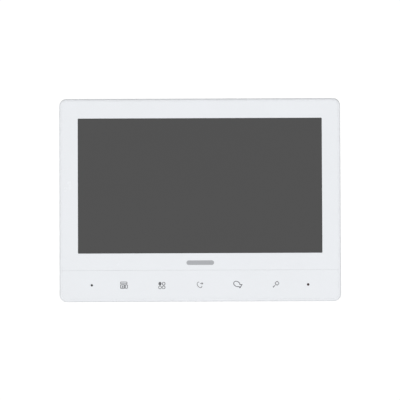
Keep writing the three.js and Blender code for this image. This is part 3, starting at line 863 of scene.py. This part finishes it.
def listSymbol(bm, x, z):
    w = ink["stroke"]
    x, z = x + 0.2 * mm, z + 0.15 * mm
    inkFrame(bm, x - 0.1 * mm, z + 1.3 * mm, 4.5 * mm, 1.5 * mm, 0.4 * mm, w)
    inkFrame(bm, x - 0.85 * mm, z - 1.05 * mm, 3.0 * mm, 2.6 * mm, 0.35 * mm, w * 1.15)
    inkFrame(bm, x + 1.55 * mm, z - 1.05 * mm, 1.8 * mm, 2.6 * mm, 0.6 * mm, w)
    inkSolid(bm, circlePoints(x - 0.75 * mm, z - 1.2 * mm, 0.52 * mm, 20), layer=1)


def dotsSymbol(bm, x, z):
    reach, radius = 1.18 * mm, 1.1 * mm
    disc = circlePoints(0, 0, radius)
    inkSolid(bm, [(x - reach + px * 0.86, z + 0.88 * mm + pz * 1.04) for px, pz in disc])
    for sx, sz in ((1, 0.85), (-1, -1.5), (1, -1.5)):
        inkRing(bm, x + sx * reach, z + sz * mm, radius, 0.4 * mm)


def answerSymbol(bm, x, z):
    curve = [
        (-0.55, 1.72), (-1.45, 1.6), (-1.85, 0.6), (-1.35, -0.7), (-0.5, -1.5), (0.4, -1.8), (1.1, -1.4),
        (1.15, -0.65),
    ]
    inkLine(bm, through(millimetres(curve, x, z)), 0.36 * mm)
    inkLine(bm, millimetres([(0.15, 0.9), (1.3, 0.9)], x, z), 0.4 * mm)
    inkSolid(bm, millimetres([(1.1, 1.75), (1.1, 0.05), (2.1, 0.9)], x, z), layer=1)


def cameraSymbol(bm, x, z):
    # rounded body tipped down to the right, with a flared hood at its lower end
    x, z = x - 0.2 * mm, z + 0.2 * mm
    body = [
        (1.2, -0.05), (1.05, 0.75), (0.1, 1.65), (-1.0, 2.0), (-2.1, 1.8), (-2.7, 0.9), (-2.5, -0.15),
        (-1.6, -0.95), (-0.5, -1.4), (0.4, -1.35),
    ]
    inkLine(bm, through(millimetres(body, x, z), 4), 0.48 * mm)
    hood = [(1.1, -0.1), (2.55, -0.08), (1.9, -1.35), (1.3, -2.15), (0.4, -1.3)]
    inkLine(bm, millimetres(hood, x, z), 0.46 * mm, layer=1)
    for corner in ([(1.5, 0.1), (2.8, 0.12), (2.4, -0.75)], [(0.75, -1.35), (1.5, -1.35), (1.35, -2.45)]):
        inkSolid(bm, millimetres(corner, x, z), layer=2)


def unlockSymbol(bm, x, z):
    x, z = x - 0.2 * mm, z + 0.15 * mm
    rings = []
    for half, radius in ((1.17, 0.62), (0.77, 0.34)):
        square = roundedRect(-half * mm, half * mm, -half * mm, half * mm, radius * mm, steps=6)
        rings.append(turnedPoints(square, 42, x + 0.6 * mm, z + 0.7 * mm))
    inkSolid(bm, *rings)
    inkLine(bm, millimetres([(-0.3, -0.2), (-1.5, -1.4)], x, z), 0.38 * mm, layer=1)
    inkLine(bm, millimetres([(-1.35, -1.25), (-2.0, -1.9)], x, z), 0.66 * mm, layer=2)


def keySymbols():
    bm = bmesh.new()
    drawings = (listSymbol, dotsSymbol, answerSymbol, cameraSymbol, unlockSymbol)
    for draw, spot in zip(drawings, map(centreOf, eachOf("touch_spring", 5))):
        draw(bm, spot.x, spot.z)
    return newObject("keySymbols", bm, finish["inkGrey"])


settle(keySymbols(), "monitor", None)


def plainBadge():
    made = sized({"width": 17.6, "height": 2.9, "z": -40.1})
    bm = bmesh.new()
    half, tall, z = made["width"] / 2, made["height"] / 2, made["z"]
    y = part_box("screen_panel")[0].y
    outline = roundedRect(-half, half, z - tall, z + tall, tall * 0.98, steps=10)
    y += ink["front"]
    addRings(bm, [(y, outline), (y + ink["thickness"], outline)])
    return newObject("plainBadge", bm, finish["inkPale"])


settle(plainBadge(), "monitor", None)
print("printed symbols made")


# rear cover

def betweenStations(stations, steps=5):
    # stations of (y, inset, radius), with a smooth run of sections through them
    runs = []
    for i in range(len(stations) - 1):
        p = [stations[max(i - 1, 0)], stations[i], stations[i + 1], stations[min(i + 2, len(stations) - 1)]]
        for step in range(steps):
            t = step / steps
            values = []
            for k in range(3):
                a, b, c, d = (q[k] for q in p)
                tangentIn, tangentOut = (c - a) / 2, (d - b) / 2
                if i == 0:
                    tangentIn = 0 if k else (c - b)
                value = (2 * t ** 3 - 3 * t * t + 1) * b + (t ** 3 - 2 * t * t + t) * tangentIn
                value += (-2 * t ** 3 + 3 * t * t) * c + (t ** 3 - t * t) * tangentOut
                values.append(value)
            runs.append(values)
    runs.append(list(stations[-1]))
    return runs


def speakerRib(skin, back):
    # low wall on the inside of the cover that the speaker drops into
    made = sized({"outside": 1.3, "inside": 0.3, "depth": 6})
    low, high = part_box("speaker_frame")
    front, outside, inside = high.y - made["depth"], made["outside"], made["inside"]
    rings = []
    for spare, y in ((outside, front), (outside, back), (inside, back), (inside, front)):
        half = (high.x - low.x) / 2 + spare
        rings.append((y, roundedRect(*nodeRect("speaker_frame", -spare), half * 0.999)))
    return ringPiece("rib", rings, skin, closed=True)


def fourPlaces(made):
    # where the bracket's hooks are
    return [(x, z) for z in made["hooksZ"] for x in (-made["hooksX"], made["hooksX"])]


def rearCover():
    made = {
        "outer": [
            (-9.9, 0.6, 4.2), (-8.4, 0.6, 4.2), (-5.5, 1.7, 5), (-3, 4.2, 6), (-1.4, 7.2, 7), (-0.6, 10, 8),
        ],
        "inner": [
            (-10.9, 2.4, 2.6), (-8.4, 2.4, 2.6), (-6, 3.8, 3), (-4.2, 6.2, 4), (-3.1, 9, 5), (-2.4, 12, 6),
        ],
        "recess": (-56, 56, -46, 38.8, 2), "recessWall": 1.6, "recessInner": -4.4, "recessFloor": -2.8,
        "bay": (-34.4, 34.4, -31.5, -8.5, 1), "shelf": -1.0, "past": 1.0,
        "hooksX": 44, "hooksZ": (-28, 22), "hookHalf": 4.3, "hookBelow": 8.3, "hookAbove": 1.25,
        "screwHead": 2.9, "screwBore": 1.5, "screwPost": 3.3, "postFront": -9.7, "seat": -2.6,
        "grillePitch": 3.6, "grilleCount": 7, "grilleWidth": 12.6, "grilleTaper": 1 / 12.6, "slot": 1.6,
        "tabs": (-50, 0, 50), "tabHalf": 6, "tabInner": 61.2, "tabOuter": 62.7, "tabTip": -14.5,
        "tabRoot": -7.9,
        "ventPitch": 4, "ventCount": 13, "ventZ": 47.4, "ventHeight": 8, "slotFront": -3, "slotDepth": 5,
    }
    skin = finish["whiteTextured"]

    def ring(inset, y, radius):
        return y * mm, roundedRect(*nodeRect("front_frame", inset * mm), radius * mm, steps=12)

    outer = [ring(inset, y, radius) for y, inset, radius in betweenStations(made["outer"])]
    body = ringPiece("rearCover", outer, skin)
    inner = ringPiece("hollow", [ring(inset, y, radius) for y, inset, radius in made["inner"]], skin)
    body = combined(body, [inner], "DIFFERENCE")

    def plateOf(x0, x1, z0, z1, radius, front, back):
        points = roundedRect(x0 * mm, x1 * mm, z0 * mm, z1 * mm, radius * mm, steps=6)
        return ringPiece("tool", [(front * mm, points), (back * mm, points)], skin)

    x0, x1, z0, z1, radius = made["recess"]
    wall = made["recessWall"]
    adds = [plateOf(x0 - wall, x1 + wall, z0 - wall, z1 + wall, 3, made["recessInner"], made["shelf"])]
    screws = [centreOf(node) for node in eachOf("rear_screw", 4)]
    for spot in screws:
        post, front, shelf = (made[key] * mm for key in ("screwPost", "postFront", "shelf"))
        adds.append(rodMesh("post", spot.x, spot.z, post, front, shelf, skin))
    half, inner, crest, tip, root = (made["tab" + key] for key in ("Half", "Inner", "Outer", "Tip", "Root"))
    blade, foot = (tip, root, crest), (root - 1.7, root, crest + 1)
    catch = (tip + 0.2, tip + 1.2, crest + 0.6)
    for x in made["tabs"]:
        for front, back, top in (blade, foot, catch):
            span = [value * mm for value in (x - half, x + half, front, back, inner, top)]
            adds.append(boxMesh("tab", *span, skin))
    adds.append(speakerRib(skin, made["shelf"] * mm))
    body = combined(body, adds, "UNION")

    cuts = [
        plateOf(x0, x1, z0, z1, radius, made["recessFloor"], made["past"]),
        plateOf(*made["bay"], made["recessInner"] - 1, made["past"]),
    ]
    half = made["hookHalf"]
    for x, z in fourPlaces(made):
        below, above = z - made["hookBelow"], z + made["hookAbove"]
        cuts.append(plateOf(x - half, x + half, below, above, 0.3, made["recessInner"] - 1, made["past"]))
    for spot in screws:
        cuts.append(rodMesh("bore", spot.x, spot.z, made["screwBore"] * mm, -11 * mm, mm, skin, 24))
        cuts.append(rodMesh("bore", spot.x, spot.z, made["screwHead"] * mm, made["seat"] * mm, mm, skin, 32))
    speaker = centreOf("speaker_cone")
    start, slot = made["slotFront"] * mm, made["slot"] * mm
    shared = {"Corner": slot * 0.49, "Depth": made["slotDepth"] * mm, "Material": skin}
    pitch, count = made["grillePitch"] * mm, made["grilleCount"]
    middle, first = (count - 1) / 2, speaker.z - pitch * (count - 1) / 2
    cuts.append(runTree("grilleSlots", slotRow, {
        "Count": count, "Pitch": (0.0, 0.0, pitch), "Start": (speaker.x, start, first),
        "Width": made["grilleWidth"] * mm, "Height": slot, "Middle": middle,
        "Taper": made["grilleTaper"], **shared,
    }))
    pitch, count = made["ventPitch"] * mm, made["ventCount"]
    first = -pitch * (count - 1) / 2
    cuts.append(runTree("ventSlots", slotRow, {
        "Count": count, "Pitch": (pitch, 0.0, 0.0), "Start": (first, start, made["ventZ"] * mm),
        "Width": slot, "Height": made["ventHeight"] * mm, **shared,
    }))
    return combined(body, cuts, "DIFFERENCE")


settle(smoothed(bevelled(rearCover(), 0.2 * mm)), "monitor", "white_satin", "rear_cover")
print("rear cover made")


# wall bracket

def wallBracket():
    made = {
        "radius": 3, "window": (-36, 36, -31, -9, 2), "slotWidth": 4, "slotLength": 9, "slotX": 30,
        "slotZ": 2, "topSlotZ": 28, "cornerHoleZ": 32, "hooksX": 44, "hooksZ": (-28, 22), "hookHalf": 4,
        "sheet": 1.2, "tab": 6, "tabFront": -5.8, "lance": 0.2, "bendOut": 1.0, "bendIn": 0.2,
    }
    low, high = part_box("wall_bracket")
    steel = finish["zincPlate"]
    sheet = made["sheet"] * mm
    front, back = high.y - sheet, high.y
    outline = roundedRect(low.x, high.x, low.z, high.z, made["radius"] * mm, steps=10)
    body = ringPiece("wallBracket", [(front, outline), (back, outline)], steel)

    def hole(x0, x1, z0, z1, radius):
        points = roundedRect(x0 * mm, x1 * mm, z0 * mm, z1 * mm, radius * mm, steps=8)
        return ringPiece("tool", [(front - mm, points), (back + mm, points)], steel)

    cuts = [hole(*made["window"])]
    wide, long = made["slotWidth"] / 2, made["slotLength"] / 2
    slots = []
    for x in (-made["slotX"], made["slotX"]):
        slots += [(x, made["slotZ"], long, wide), (x, made["cornerHoleZ"], wide, wide)]
    for x, z, across, up in slots + [(0, made["topSlotZ"], wide, long)]:
        cuts.append(hole(x - across, x + across, z - up, z + up, wide * 0.98))
    half = made["hookHalf"]
    reach = half + made["lance"]
    hooks = []
    for x, z in fourPlaces(made):
        top = z + made["sheet"]
        cuts.append(hole(x - reach, x + reach, top, top + made["tab"] + 0.4, 0.3))
        section = hookSection(z * mm, made, front)
        bm = bmesh.new()
        sides = [[bm.verts.new((end * mm, y, h)) for y, h in section] for end in (x - half, x + half)]
        for i in range(len(section)):
            j = (i + 1) % len(section)
            bm.faces.new((sides[0][i], sides[0][j], sides[1][j], sides[1][i]))
        bm.faces.new(sides[0])
        bm.faces.new(sides[1])
        hooks.append(newObject("hook", bm, steel))
    return combined(combined(body, cuts, "DIFFERENCE"), hooks, "UNION")


def hookSection(z, made, plateFront):
    # (y, z) outline of a strip that leaves the plate, runs forwards and turns up
    tabFront, sheet = made["tabFront"] * mm, made["sheet"] * mm
    outR, inR = made["bendOut"] * mm, made["bendIn"] * mm
    root = plateFront + sheet * 0.5
    tip = z + sheet + made["tab"] * mm
    arc = [i * math.pi / 12 for i in range(7)]
    section = [(root, z)]
    section += [(tabFront + outR - outR * math.sin(a), z + outR - outR * math.cos(a)) for a in arc]
    section += [(tabFront, tip - 0.4 * mm), (tabFront + 0.3 * mm, tip), (tabFront + sheet - 0.3 * mm, tip)]
    section += [(tabFront + sheet, tip - 0.4 * mm)]
    section += [
        (tabFront + sheet + inR - inR * math.cos(a), z + sheet + inR - inR * math.sin(a)) for a in arc
    ]
    section.append((root, z + sheet))
    return section


settle(smoothed(bevelled(wallBracket(), 0.12 * mm)), "bracket", "zinc_steel", "wall_bracket")
print("wall bracket made")


# screws

def screwBody(name, seat, length, shank, head, height, steel):
    # pan head towards +Y with a cross recess, modelled about the origin of its place
    dome = [
        (head * math.cos(a), seat + height * (0.45 + 0.55 * math.sin(a))) for a in
        [i * math.pi / 2 / 8 for i in range(8)]
    ]
    end = seat - length
    profile = [(0, end), (shank * 0.4, end), (shank, end + 0.8 * mm), (shank, seat), (head, seat)]
    profile += dome + [(0, seat + height)]
    screw = turnedMesh(name, profile, 0, 0, steel, 32)
    top, cross, slim = seat + height, head * 0.62, head * 0.13
    floor = top - height * 0.55
    bars = [
        boxMesh("bar", -cross, cross, floor, top + mm, -slim, slim, steel),
        boxMesh("bar", -slim, slim, floor, top + mm, -cross, cross, steel),
    ]
    return smoothed(combined(screw, bars, "DIFFERENCE"))


def screwGroup(name, prefix, count, shank, head, height, length, seed):
    steel, replaced = finish["nickelSteel"], eachOf(prefix, count)
    spots = [centreOf(node) for node in replaced]
    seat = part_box(replaced[0])[1].y - height
    item = screwBody("screwItem", seat, length, shank, head, height, steel)
    group = runTree(name, screwSet, {
        "Screw": item, "Size": 1.0, "Turn": 3.1, "Seed": seed, "Material": steel,
    }, [(spot.x, 0, spot.z) for spot in spots])
    bpy.data.objects.remove(item)
    settle(group, "monitor", "bright_steel", *replaced)


screwGroup("rearScrews", "rear_screw", 4, 1.2 * mm, 2.6 * mm, 1.5 * mm, 12 * mm, 11)
screwGroup("boardScrews", "board_screw", 4, 1.0 * mm, 2.2 * mm, 1.3 * mm, 3 * mm, 5)
screwGroup("chassisScrews", "chassis_screw", 6, 0.9 * mm, 1.9 * mm, 1.2 * mm, 4 * mm, 8)
print("screws made")


# sockets, springs and board parts

def socketPiece(name, node, pins):
    made = sized({
        "wall": 0.9, "floor": -7.1, "pin": 0.64, "pinPitch": 2.5, "pinLength": 3.9,
        "edge": 0.15, "pinEdge": 0.12, "notch": 1.4, "notchDepth": 3,
    })
    low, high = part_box(node)
    nylon = finish["nylonIvory"]
    body = boxMesh(name, low.x, high.x, low.y, high.y, low.z, high.z, nylon)
    wall, half = made["wall"], made["notch"] / 2
    mid, past = (low.x + high.x) / 2, high.y + mm
    x0, x1, z0, z1 = nodeRect(node, wall)
    cuts = [boxMesh("tool", x0, x1, made["floor"], past, z0, z1, nylon)]
    for side in (-1, 1):
        x, depth = mid + side * (high.x - low.x) * 0.25, high.y - made["notchDepth"]
        cuts.append(boxMesh("tool", x - half, x + half, depth, past, low.z - mm, low.z + wall * 1.5, nylon))
    body = smoothed(bevelled(combined(body, cuts, "DIFFERENCE"), made["edge"]))
    settle(body, "monitor", "ivory_nylon", node)
    length = made["pinLength"]
    first, depth = mid - made["pinPitch"] * (pins - 1) / 2, made["floor"] + length / 2 - 0.1 * mm
    start = (first, depth, (low.z + high.z) / 2)
    row = runTree(name + "Pins", pinRow, {
        "Count": pins, "Pitch": (made["pinPitch"], 0.0, 0.0), "Start": start,
        "Size": (made["pin"], length, made["pin"]), "Material": finish["springGold"],
    })
    settle(bevelled(row, made["pinEdge"]), "monitor", "gold_spring")


for label, node, pins in (
    ("doorSocketOne", "door_socket_1", 4), ("doorSocketTwo", "door_socket_2", 4),
    ("extensionSocket", "extension_socket", 4), ("powerSocket", "power_socket", 2),
):
    socketPiece(label, node, pins)


def keySprings():
    made = {"wire": 0.22 * mm, "turns": 3.0, "radius": 3.0 * mm}
    first, last = centreOf("touch_spring_1"), centreOf("touch_spring_5")
    low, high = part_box("touch_spring_1")
    length = high.y - low.y - 2 * made["wire"]
    row = runTree("keySprings", springRow, {
        "Count": 5, "Pitch": ((last.x - first.x) / 4, 0.0, 0.0),
        "Start": (first.x, low.y + made["wire"], first.z),
        "Radius": made["radius"], "Length": length, "Turns": made["turns"], "Wire": made["wire"],
        "Material": finish["springGold"],
    })
    settle(smoothed(row, 60), "monitor", "gold_spring", *eachOf("touch_spring", 5))


keySprings()


def smallPartItem():
    bm = bmesh.new()
    mark = bm.faces.layers.float.new("end")
    long, tall, deep, cap = 0.8 * mm, 0.35 * mm, 0.4 * mm, 0.22 * mm
    for x0, x1, isEnd in ((-long, -long + cap, 1.0), (-long + cap, long - cap, 0.0), (long - cap, long, 1.0)):
        made = bmesh.ops.create_cube(bm, size=1)
        swell = 1.0 if isEnd else 0.94
        for vert in made["verts"]:
            vert.co.x = x0 if vert.co.x < 0 else x1
            vert.co.y *= tall * swell
            vert.co.z *= deep * 2 * swell
            vert.co.y += tall * 0.5
        for face in {f for v in made["verts"] for f in v.link_faces}:
            face[mark] = isEnd
    mesh = bpy.data.meshes.new("smallPartItem")
    bm.to_mesh(mesh)
    bm.free()
    item = bpy.data.objects.new("smallPartItem", mesh)
    bpy.context.scene.collection.objects.link(item)
    return item


def boardParts():
    made = {
        "fields": [
            ((-24, 24), (24, 34), 9, 4), ((-50, -38), (2, 14), 4, 5), ((20, 36), (0, 20), 6, 6),
            ((-34, 26), (-3, 2), 12, 2), ((-31, 30), (-13.5, -11), 13, 2), ((-31, 30), (-29, -26.5), 13, 2),
        ],
        "seed": 21, "leftOut": 0.25,
    }
    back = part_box("main_board")[1].y
    places = []
    for (x0, x1), (z0, z1), across, up in made["fields"]:
        for i in range(across):
            for j in range(up):
                x = x0 + (x1 - x0) * i / max(across - 1, 1)
                z = z0 + (z1 - z0) * j / max(up - 1, 1)
                places.append((x * mm, back, z * mm))
    item = smallPartItem()
    scatter = runTree("boardParts", smallParts, {
        "Part": item, "Left Out": made["leftOut"], "Seed": made["seed"], "Material": finish["smallPartEnds"],
    }, places)
    bpy.data.objects.remove(item)
    settle(scatter, "monitor", "black_chip")


boardParts()
print("sockets, springs and board parts made")


# speaker, microphone, indicator

def coneRing(width, y):
    low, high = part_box("speaker_cone")
    mid = (low + high) / 2
    spare = (high.z - low.z) - (high.x - low.x)
    half, tall = width / 2, (width + spare) / 2
    return y, roundedRect(mid.x - half, mid.x + half, mid.z - tall, mid.z + tall, half * 0.999, steps=16)


def speakerCone():
    # pressed paper dish with a rolled surround and a raised dust cap
    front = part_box("speaker_cone")[0].y
    sheet = 0.22 * mm
    surround = [(14.2, -4.4), (13.6, -4.42), (12.9, -4.75), (12.2, -4.9), (11.4, -4.8)]
    dish = surround + [(10.2, -5.05), (8.4, -5.5)]
    cap = [(7.2, -5.62), (6.4, -5.45), (5.0, -5.15), (3.0, -4.95), (1.0, -4.9)]
    rear = [coneRing(w * mm, y * mm) for w, y in dish + cap]
    under = [coneRing(w * mm, max(y * mm - sheet, front + 0.01 * mm)) for w, y in reversed(dish + cap)]
    bm = bmesh.new()
    addRings(bm, rear + under)
    return newObject("speakerCone", bm, finish["conePaper"])


settle(smoothed(speakerCone(), 50), "cone", "speaker_paper", "speaker_cone")


def indicatorLens():
    low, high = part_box("indicator_lens")
    spot = (low + high) / 2
    made = sized({
        "tip": 0.75, "dome": 0.14, "flange": 1.7, "flangeFront": -18.3, "flangeBack": -17.4,
        "stem": 1.2,
    })
    tip, flange, stem = made["tip"], made["flange"], made["stem"]
    arcs = [i * math.pi / 12 for i in range(1, 6)]
    profile = [(0, low.y)] + [(tip * math.sin(a), low.y + made["dome"] * (1 - math.cos(a))) for a in arcs]
    profile += [(tip, low.y + 0.2 * mm), (tip, made["flangeFront"]), (flange, made["flangeFront"])]
    profile += [(flange, made["flangeBack"]), (stem, made["flangeBack"]), (stem, high.y), (0, high.y)]
    return turnedMesh("indicatorLens", profile, spot.x, spot.z, finish["smokedLens"])


settle(smoothed(indicatorLens()), "monitor", "smoked_red", "indicator_lens")


def microphoneBoot():
    # moulded rubber cup for the capsule; its thin neck lines the sound hole
    made = sized({"bore": 0.35, "neck": 0.7, "deckFront": -18.3, "ease": 0.15})
    low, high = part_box("mic_boot")
    spot = (low + high) / 2
    capsule, ease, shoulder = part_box("mic_capsule"), made["ease"], made["deckFront"]
    wide, inside = (high.x - low.x) / 2, (capsule[1].x - capsule[0].x) / 2 + 0.02 * mm
    profile = [
        (made["bore"], low.y), (made["neck"], low.y), (made["neck"], shoulder), (wide - ease, shoulder),
        (wide, shoulder + ease), (wide, high.y - ease), (wide - ease, high.y), (inside, high.y),
        (inside, capsule[0].y - 0.02 * mm), (made["bore"], capsule[0].y - 0.02 * mm),
    ]
    return turnedMesh("microphoneBoot", profile, spot.x, spot.z, finish["rubberBlack"])


settle(smoothed(microphoneBoot()), "monitor", "black_rubber", "mic_boot")


# what keeps its CAD shape, with eased edges

keptShapes = {
    "lcd_panel": ("lcdPanel", "polariserFilm", "lcd_dark", 0.1),
    "lcd_backlight": ("backlightTray", "drawnAluminium", "aluminium_can", 0.4),
    "lcd_gasket": ("displayGasket", "foamBlack", "black_foam", 0.08),
    "lcd_flex": ("displayLead", "flexAmber", "amber_flex", 0.08),
    "lcd_connector": ("displayConnector", "nylonIvory", "ivory_nylon", 0.12),
    "touch_connector": ("keyConnector", "nylonIvory", "ivory_nylon", 0.12),
    "touch_cable": ("keyLead", "flexAmber", "amber_flex", 0.08),
    "touch_board": ("keyBoard", "boardGreen", "green_board", 0.06),
    "main_board": ("mainBoard", "boardGreen", "green_board", 0.06),
    "chassis_plate": ("chassisPlate", "zincPlate", "bright_steel", 0.1),
    "video_processor": ("videoProcessor", "chipBlack", "black_chip", 0.12),
    "memory_chip": ("memoryChip", "chipBlack", "black_chip", 0.12),
    "power_inductor": ("powerInductor", "ferriteGrey", "black_chip", 0.3),
    "speaker_frame": ("speakerFrame", "chipBlack", "black_plastic", 0.15),
    "speaker_magnet": ("speakerMagnet", "nickelSteel", "bright_steel", 0.15),
    "speaker_gasket": ("speakerGasket", "foamBlack", "black_foam", 0.1),
    "mic_capsule": ("microphoneCapsule", "capsuleCan", "aluminium_can", 0.1),
    "indicator_led": ("indicatorLed", "nylonIvory", "led_body", 0.1),
    "capacitor_1": ("capacitorOne", "drawnAluminium", "aluminium_can", 0.12),
    "capacitor_2": ("capacitorTwo", "drawnAluminium", "aluminium_can", 0.12),
    "capacitor_3": ("capacitorThree", "drawnAluminium", "aluminium_can", 0.12),
}


def easedCopy(node, name, look, width):
    bm = bmesh.new()
    bm.from_mesh(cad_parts[node].data)
    bmesh.ops.remove_doubles(bm, verts=bm.verts, dist=1e-6)
    bmesh.ops.dissolve_limit(bm, angle_limit=math.radians(1), verts=bm.verts, edges=bm.edges)
    piece = newObject(name, bm, finish[look])
    return smoothed(bevelled(piece, width * mm, 2, 32), 40)


for node, (name, look, slotName, width) in keptShapes.items():
    settle(easedCopy(node, name, look, width), "monitor", slotName, node)
print("inner pieces finished")


# floor, light and camera

def paleFloor():
    look = {"z": -0.5, "radius": 2.2, "colour": (0.9, 0.9, 0.9), "fadeFrom": 0.5, "solid": 0.9}
    bm = bmesh.new()
    bmesh.ops.create_circle(bm, cap_ends=True, segments=96, radius=look["radius"])
    for vert in bm.verts:
        vert.co.z = look["z"]
    material = bpy.data.materials.new("floorPale")
    material.use_nodes = True
    tree = material.node_tree
    place = addNode(tree, "ShaderNodeTexCoord").outputs["Object"]
    reach = addNode(tree, "ShaderNodeVectorMath", {0: place}, operation="LENGTH").outputs["Value"]
    feed(tree, tree.nodes["Principled BSDF"], {
        "Base Color": (*look["colour"], 1), "Roughness": 0.9,
        "Alpha": spread(tree, reach, look["solid"], 0.0, look["fadeFrom"], look["radius"] * 0.95),
    })
    newObject("paleFloor", bm, material)


def studioWorld():
    # an even white backdrop to look at, and a softer room that lights the object, dimmer above and below
    look = {"seen": 1.05, "above": 0.16, "level": 0.52, "below": 0.46}
    world = bpy.data.worlds.new("studio")
    bpy.context.scene.world = world
    world.use_nodes = True
    tree = world.node_tree
    ray = addNode(tree, "ShaderNodeTexCoord").outputs["Generated"]
    height = addNode(tree, "ShaderNodeSeparateXYZ", {0: ray}).outputs["Z"]
    ramp = addNode(tree, "ShaderNodeFloatCurve", {"Value": spread(tree, height, 0, 1, -1, 1)})
    curve = ramp.mapping.curves[0]
    curve.points[0].location = (0, look["below"])
    curve.points[1].location = (1, look["above"])
    curve.points.new(0.5, look["level"])
    ramp.mapping.update()
    white = (1, 1, 1, 1)
    room = feed(tree, tree.nodes["Background"], {"Color": white, "Strength": ramp.outputs[0]})
    backdrop = addNode(tree, "ShaderNodeBackground", {"Color": white, "Strength": look["seen"]})
    direct = addNode(tree, "ShaderNodeLightPath").outputs["Is Camera Ray"]
    mix = addNode(tree, "ShaderNodeMixShader", {0: direct, 1: room.outputs[0], 2: backdrop.outputs[0]})
    feed(tree, tree.nodes["World Output"], {0: mix.outputs[0]})


def softbox(name, place, size, power):
    data = bpy.data.lights.new(name, "AREA")
    data.shape = "SQUARE"
    data.size = size
    data.energy = power
    lamp = bpy.data.objects.new(name, data)
    bpy.context.scene.collection.objects.link(lamp)
    lamp.location = place
    aim = Vector((0, -0.01, 0)) - Vector(place)
    lamp.visible_glossy = name == "topBack"
    lamp.rotation_mode = "QUATERNION"
    lamp.rotation_quaternion = aim.to_track_quat("-Z", "Y")


def studioLights():
    boxes = {
        "keyLeft": ((-1.6, -2.0, -0.4), 1.0, 27.5),
        "keyRight": ((1.55, -2.1, -0.35), 1.0, 25.7),
        "backLeft": ((-0.6, 2.4, -0.3), 1.3, 13.0),
        "backRight": ((0.8, 2.4, 0.4), 1.3, 13.0),
        "topBack": ((0.2, 1.5, 1.9), 1.2, 6.0),
    }
    for name, (place, size, power) in boxes.items():
        softbox(name, place, size, power)


def mainCamera():
    look = {"distance": 1.2, "elevation": -1.4, "roll": 0.23, "aimZ": -0.07 * mm, "lens": 168.9, "sensor": 36}
    data = bpy.data.cameras.new("mainCamera")
    data.lens, data.sensor_width = look["lens"], look["sensor"]
    data.clip_start, data.clip_end = 0.05, 50
    camera = bpy.data.objects.new("mainCamera", data)
    bpy.context.scene.collection.objects.link(camera)
    tilt = math.radians(look["elevation"])
    target = Vector((0, cadLow.y, look["aimZ"]))
    back = Vector((0, -math.cos(tilt), math.sin(tilt)))
    camera.location = target + back * look["distance"]
    camera.rotation_mode = "QUATERNION"
    level = (-back).to_track_quat("-Z", "Y")
    camera.rotation_quaternion = level @ Quaternion((0, 0, 1), math.radians(-look["roll"]))
    bpy.context.scene.camera = camera


paleFloor()
studioWorld()
studioLights()
mainCamera()
bpy.context.scene.view_settings.view_transform = "Standard"
print("floor, lights and camera set")
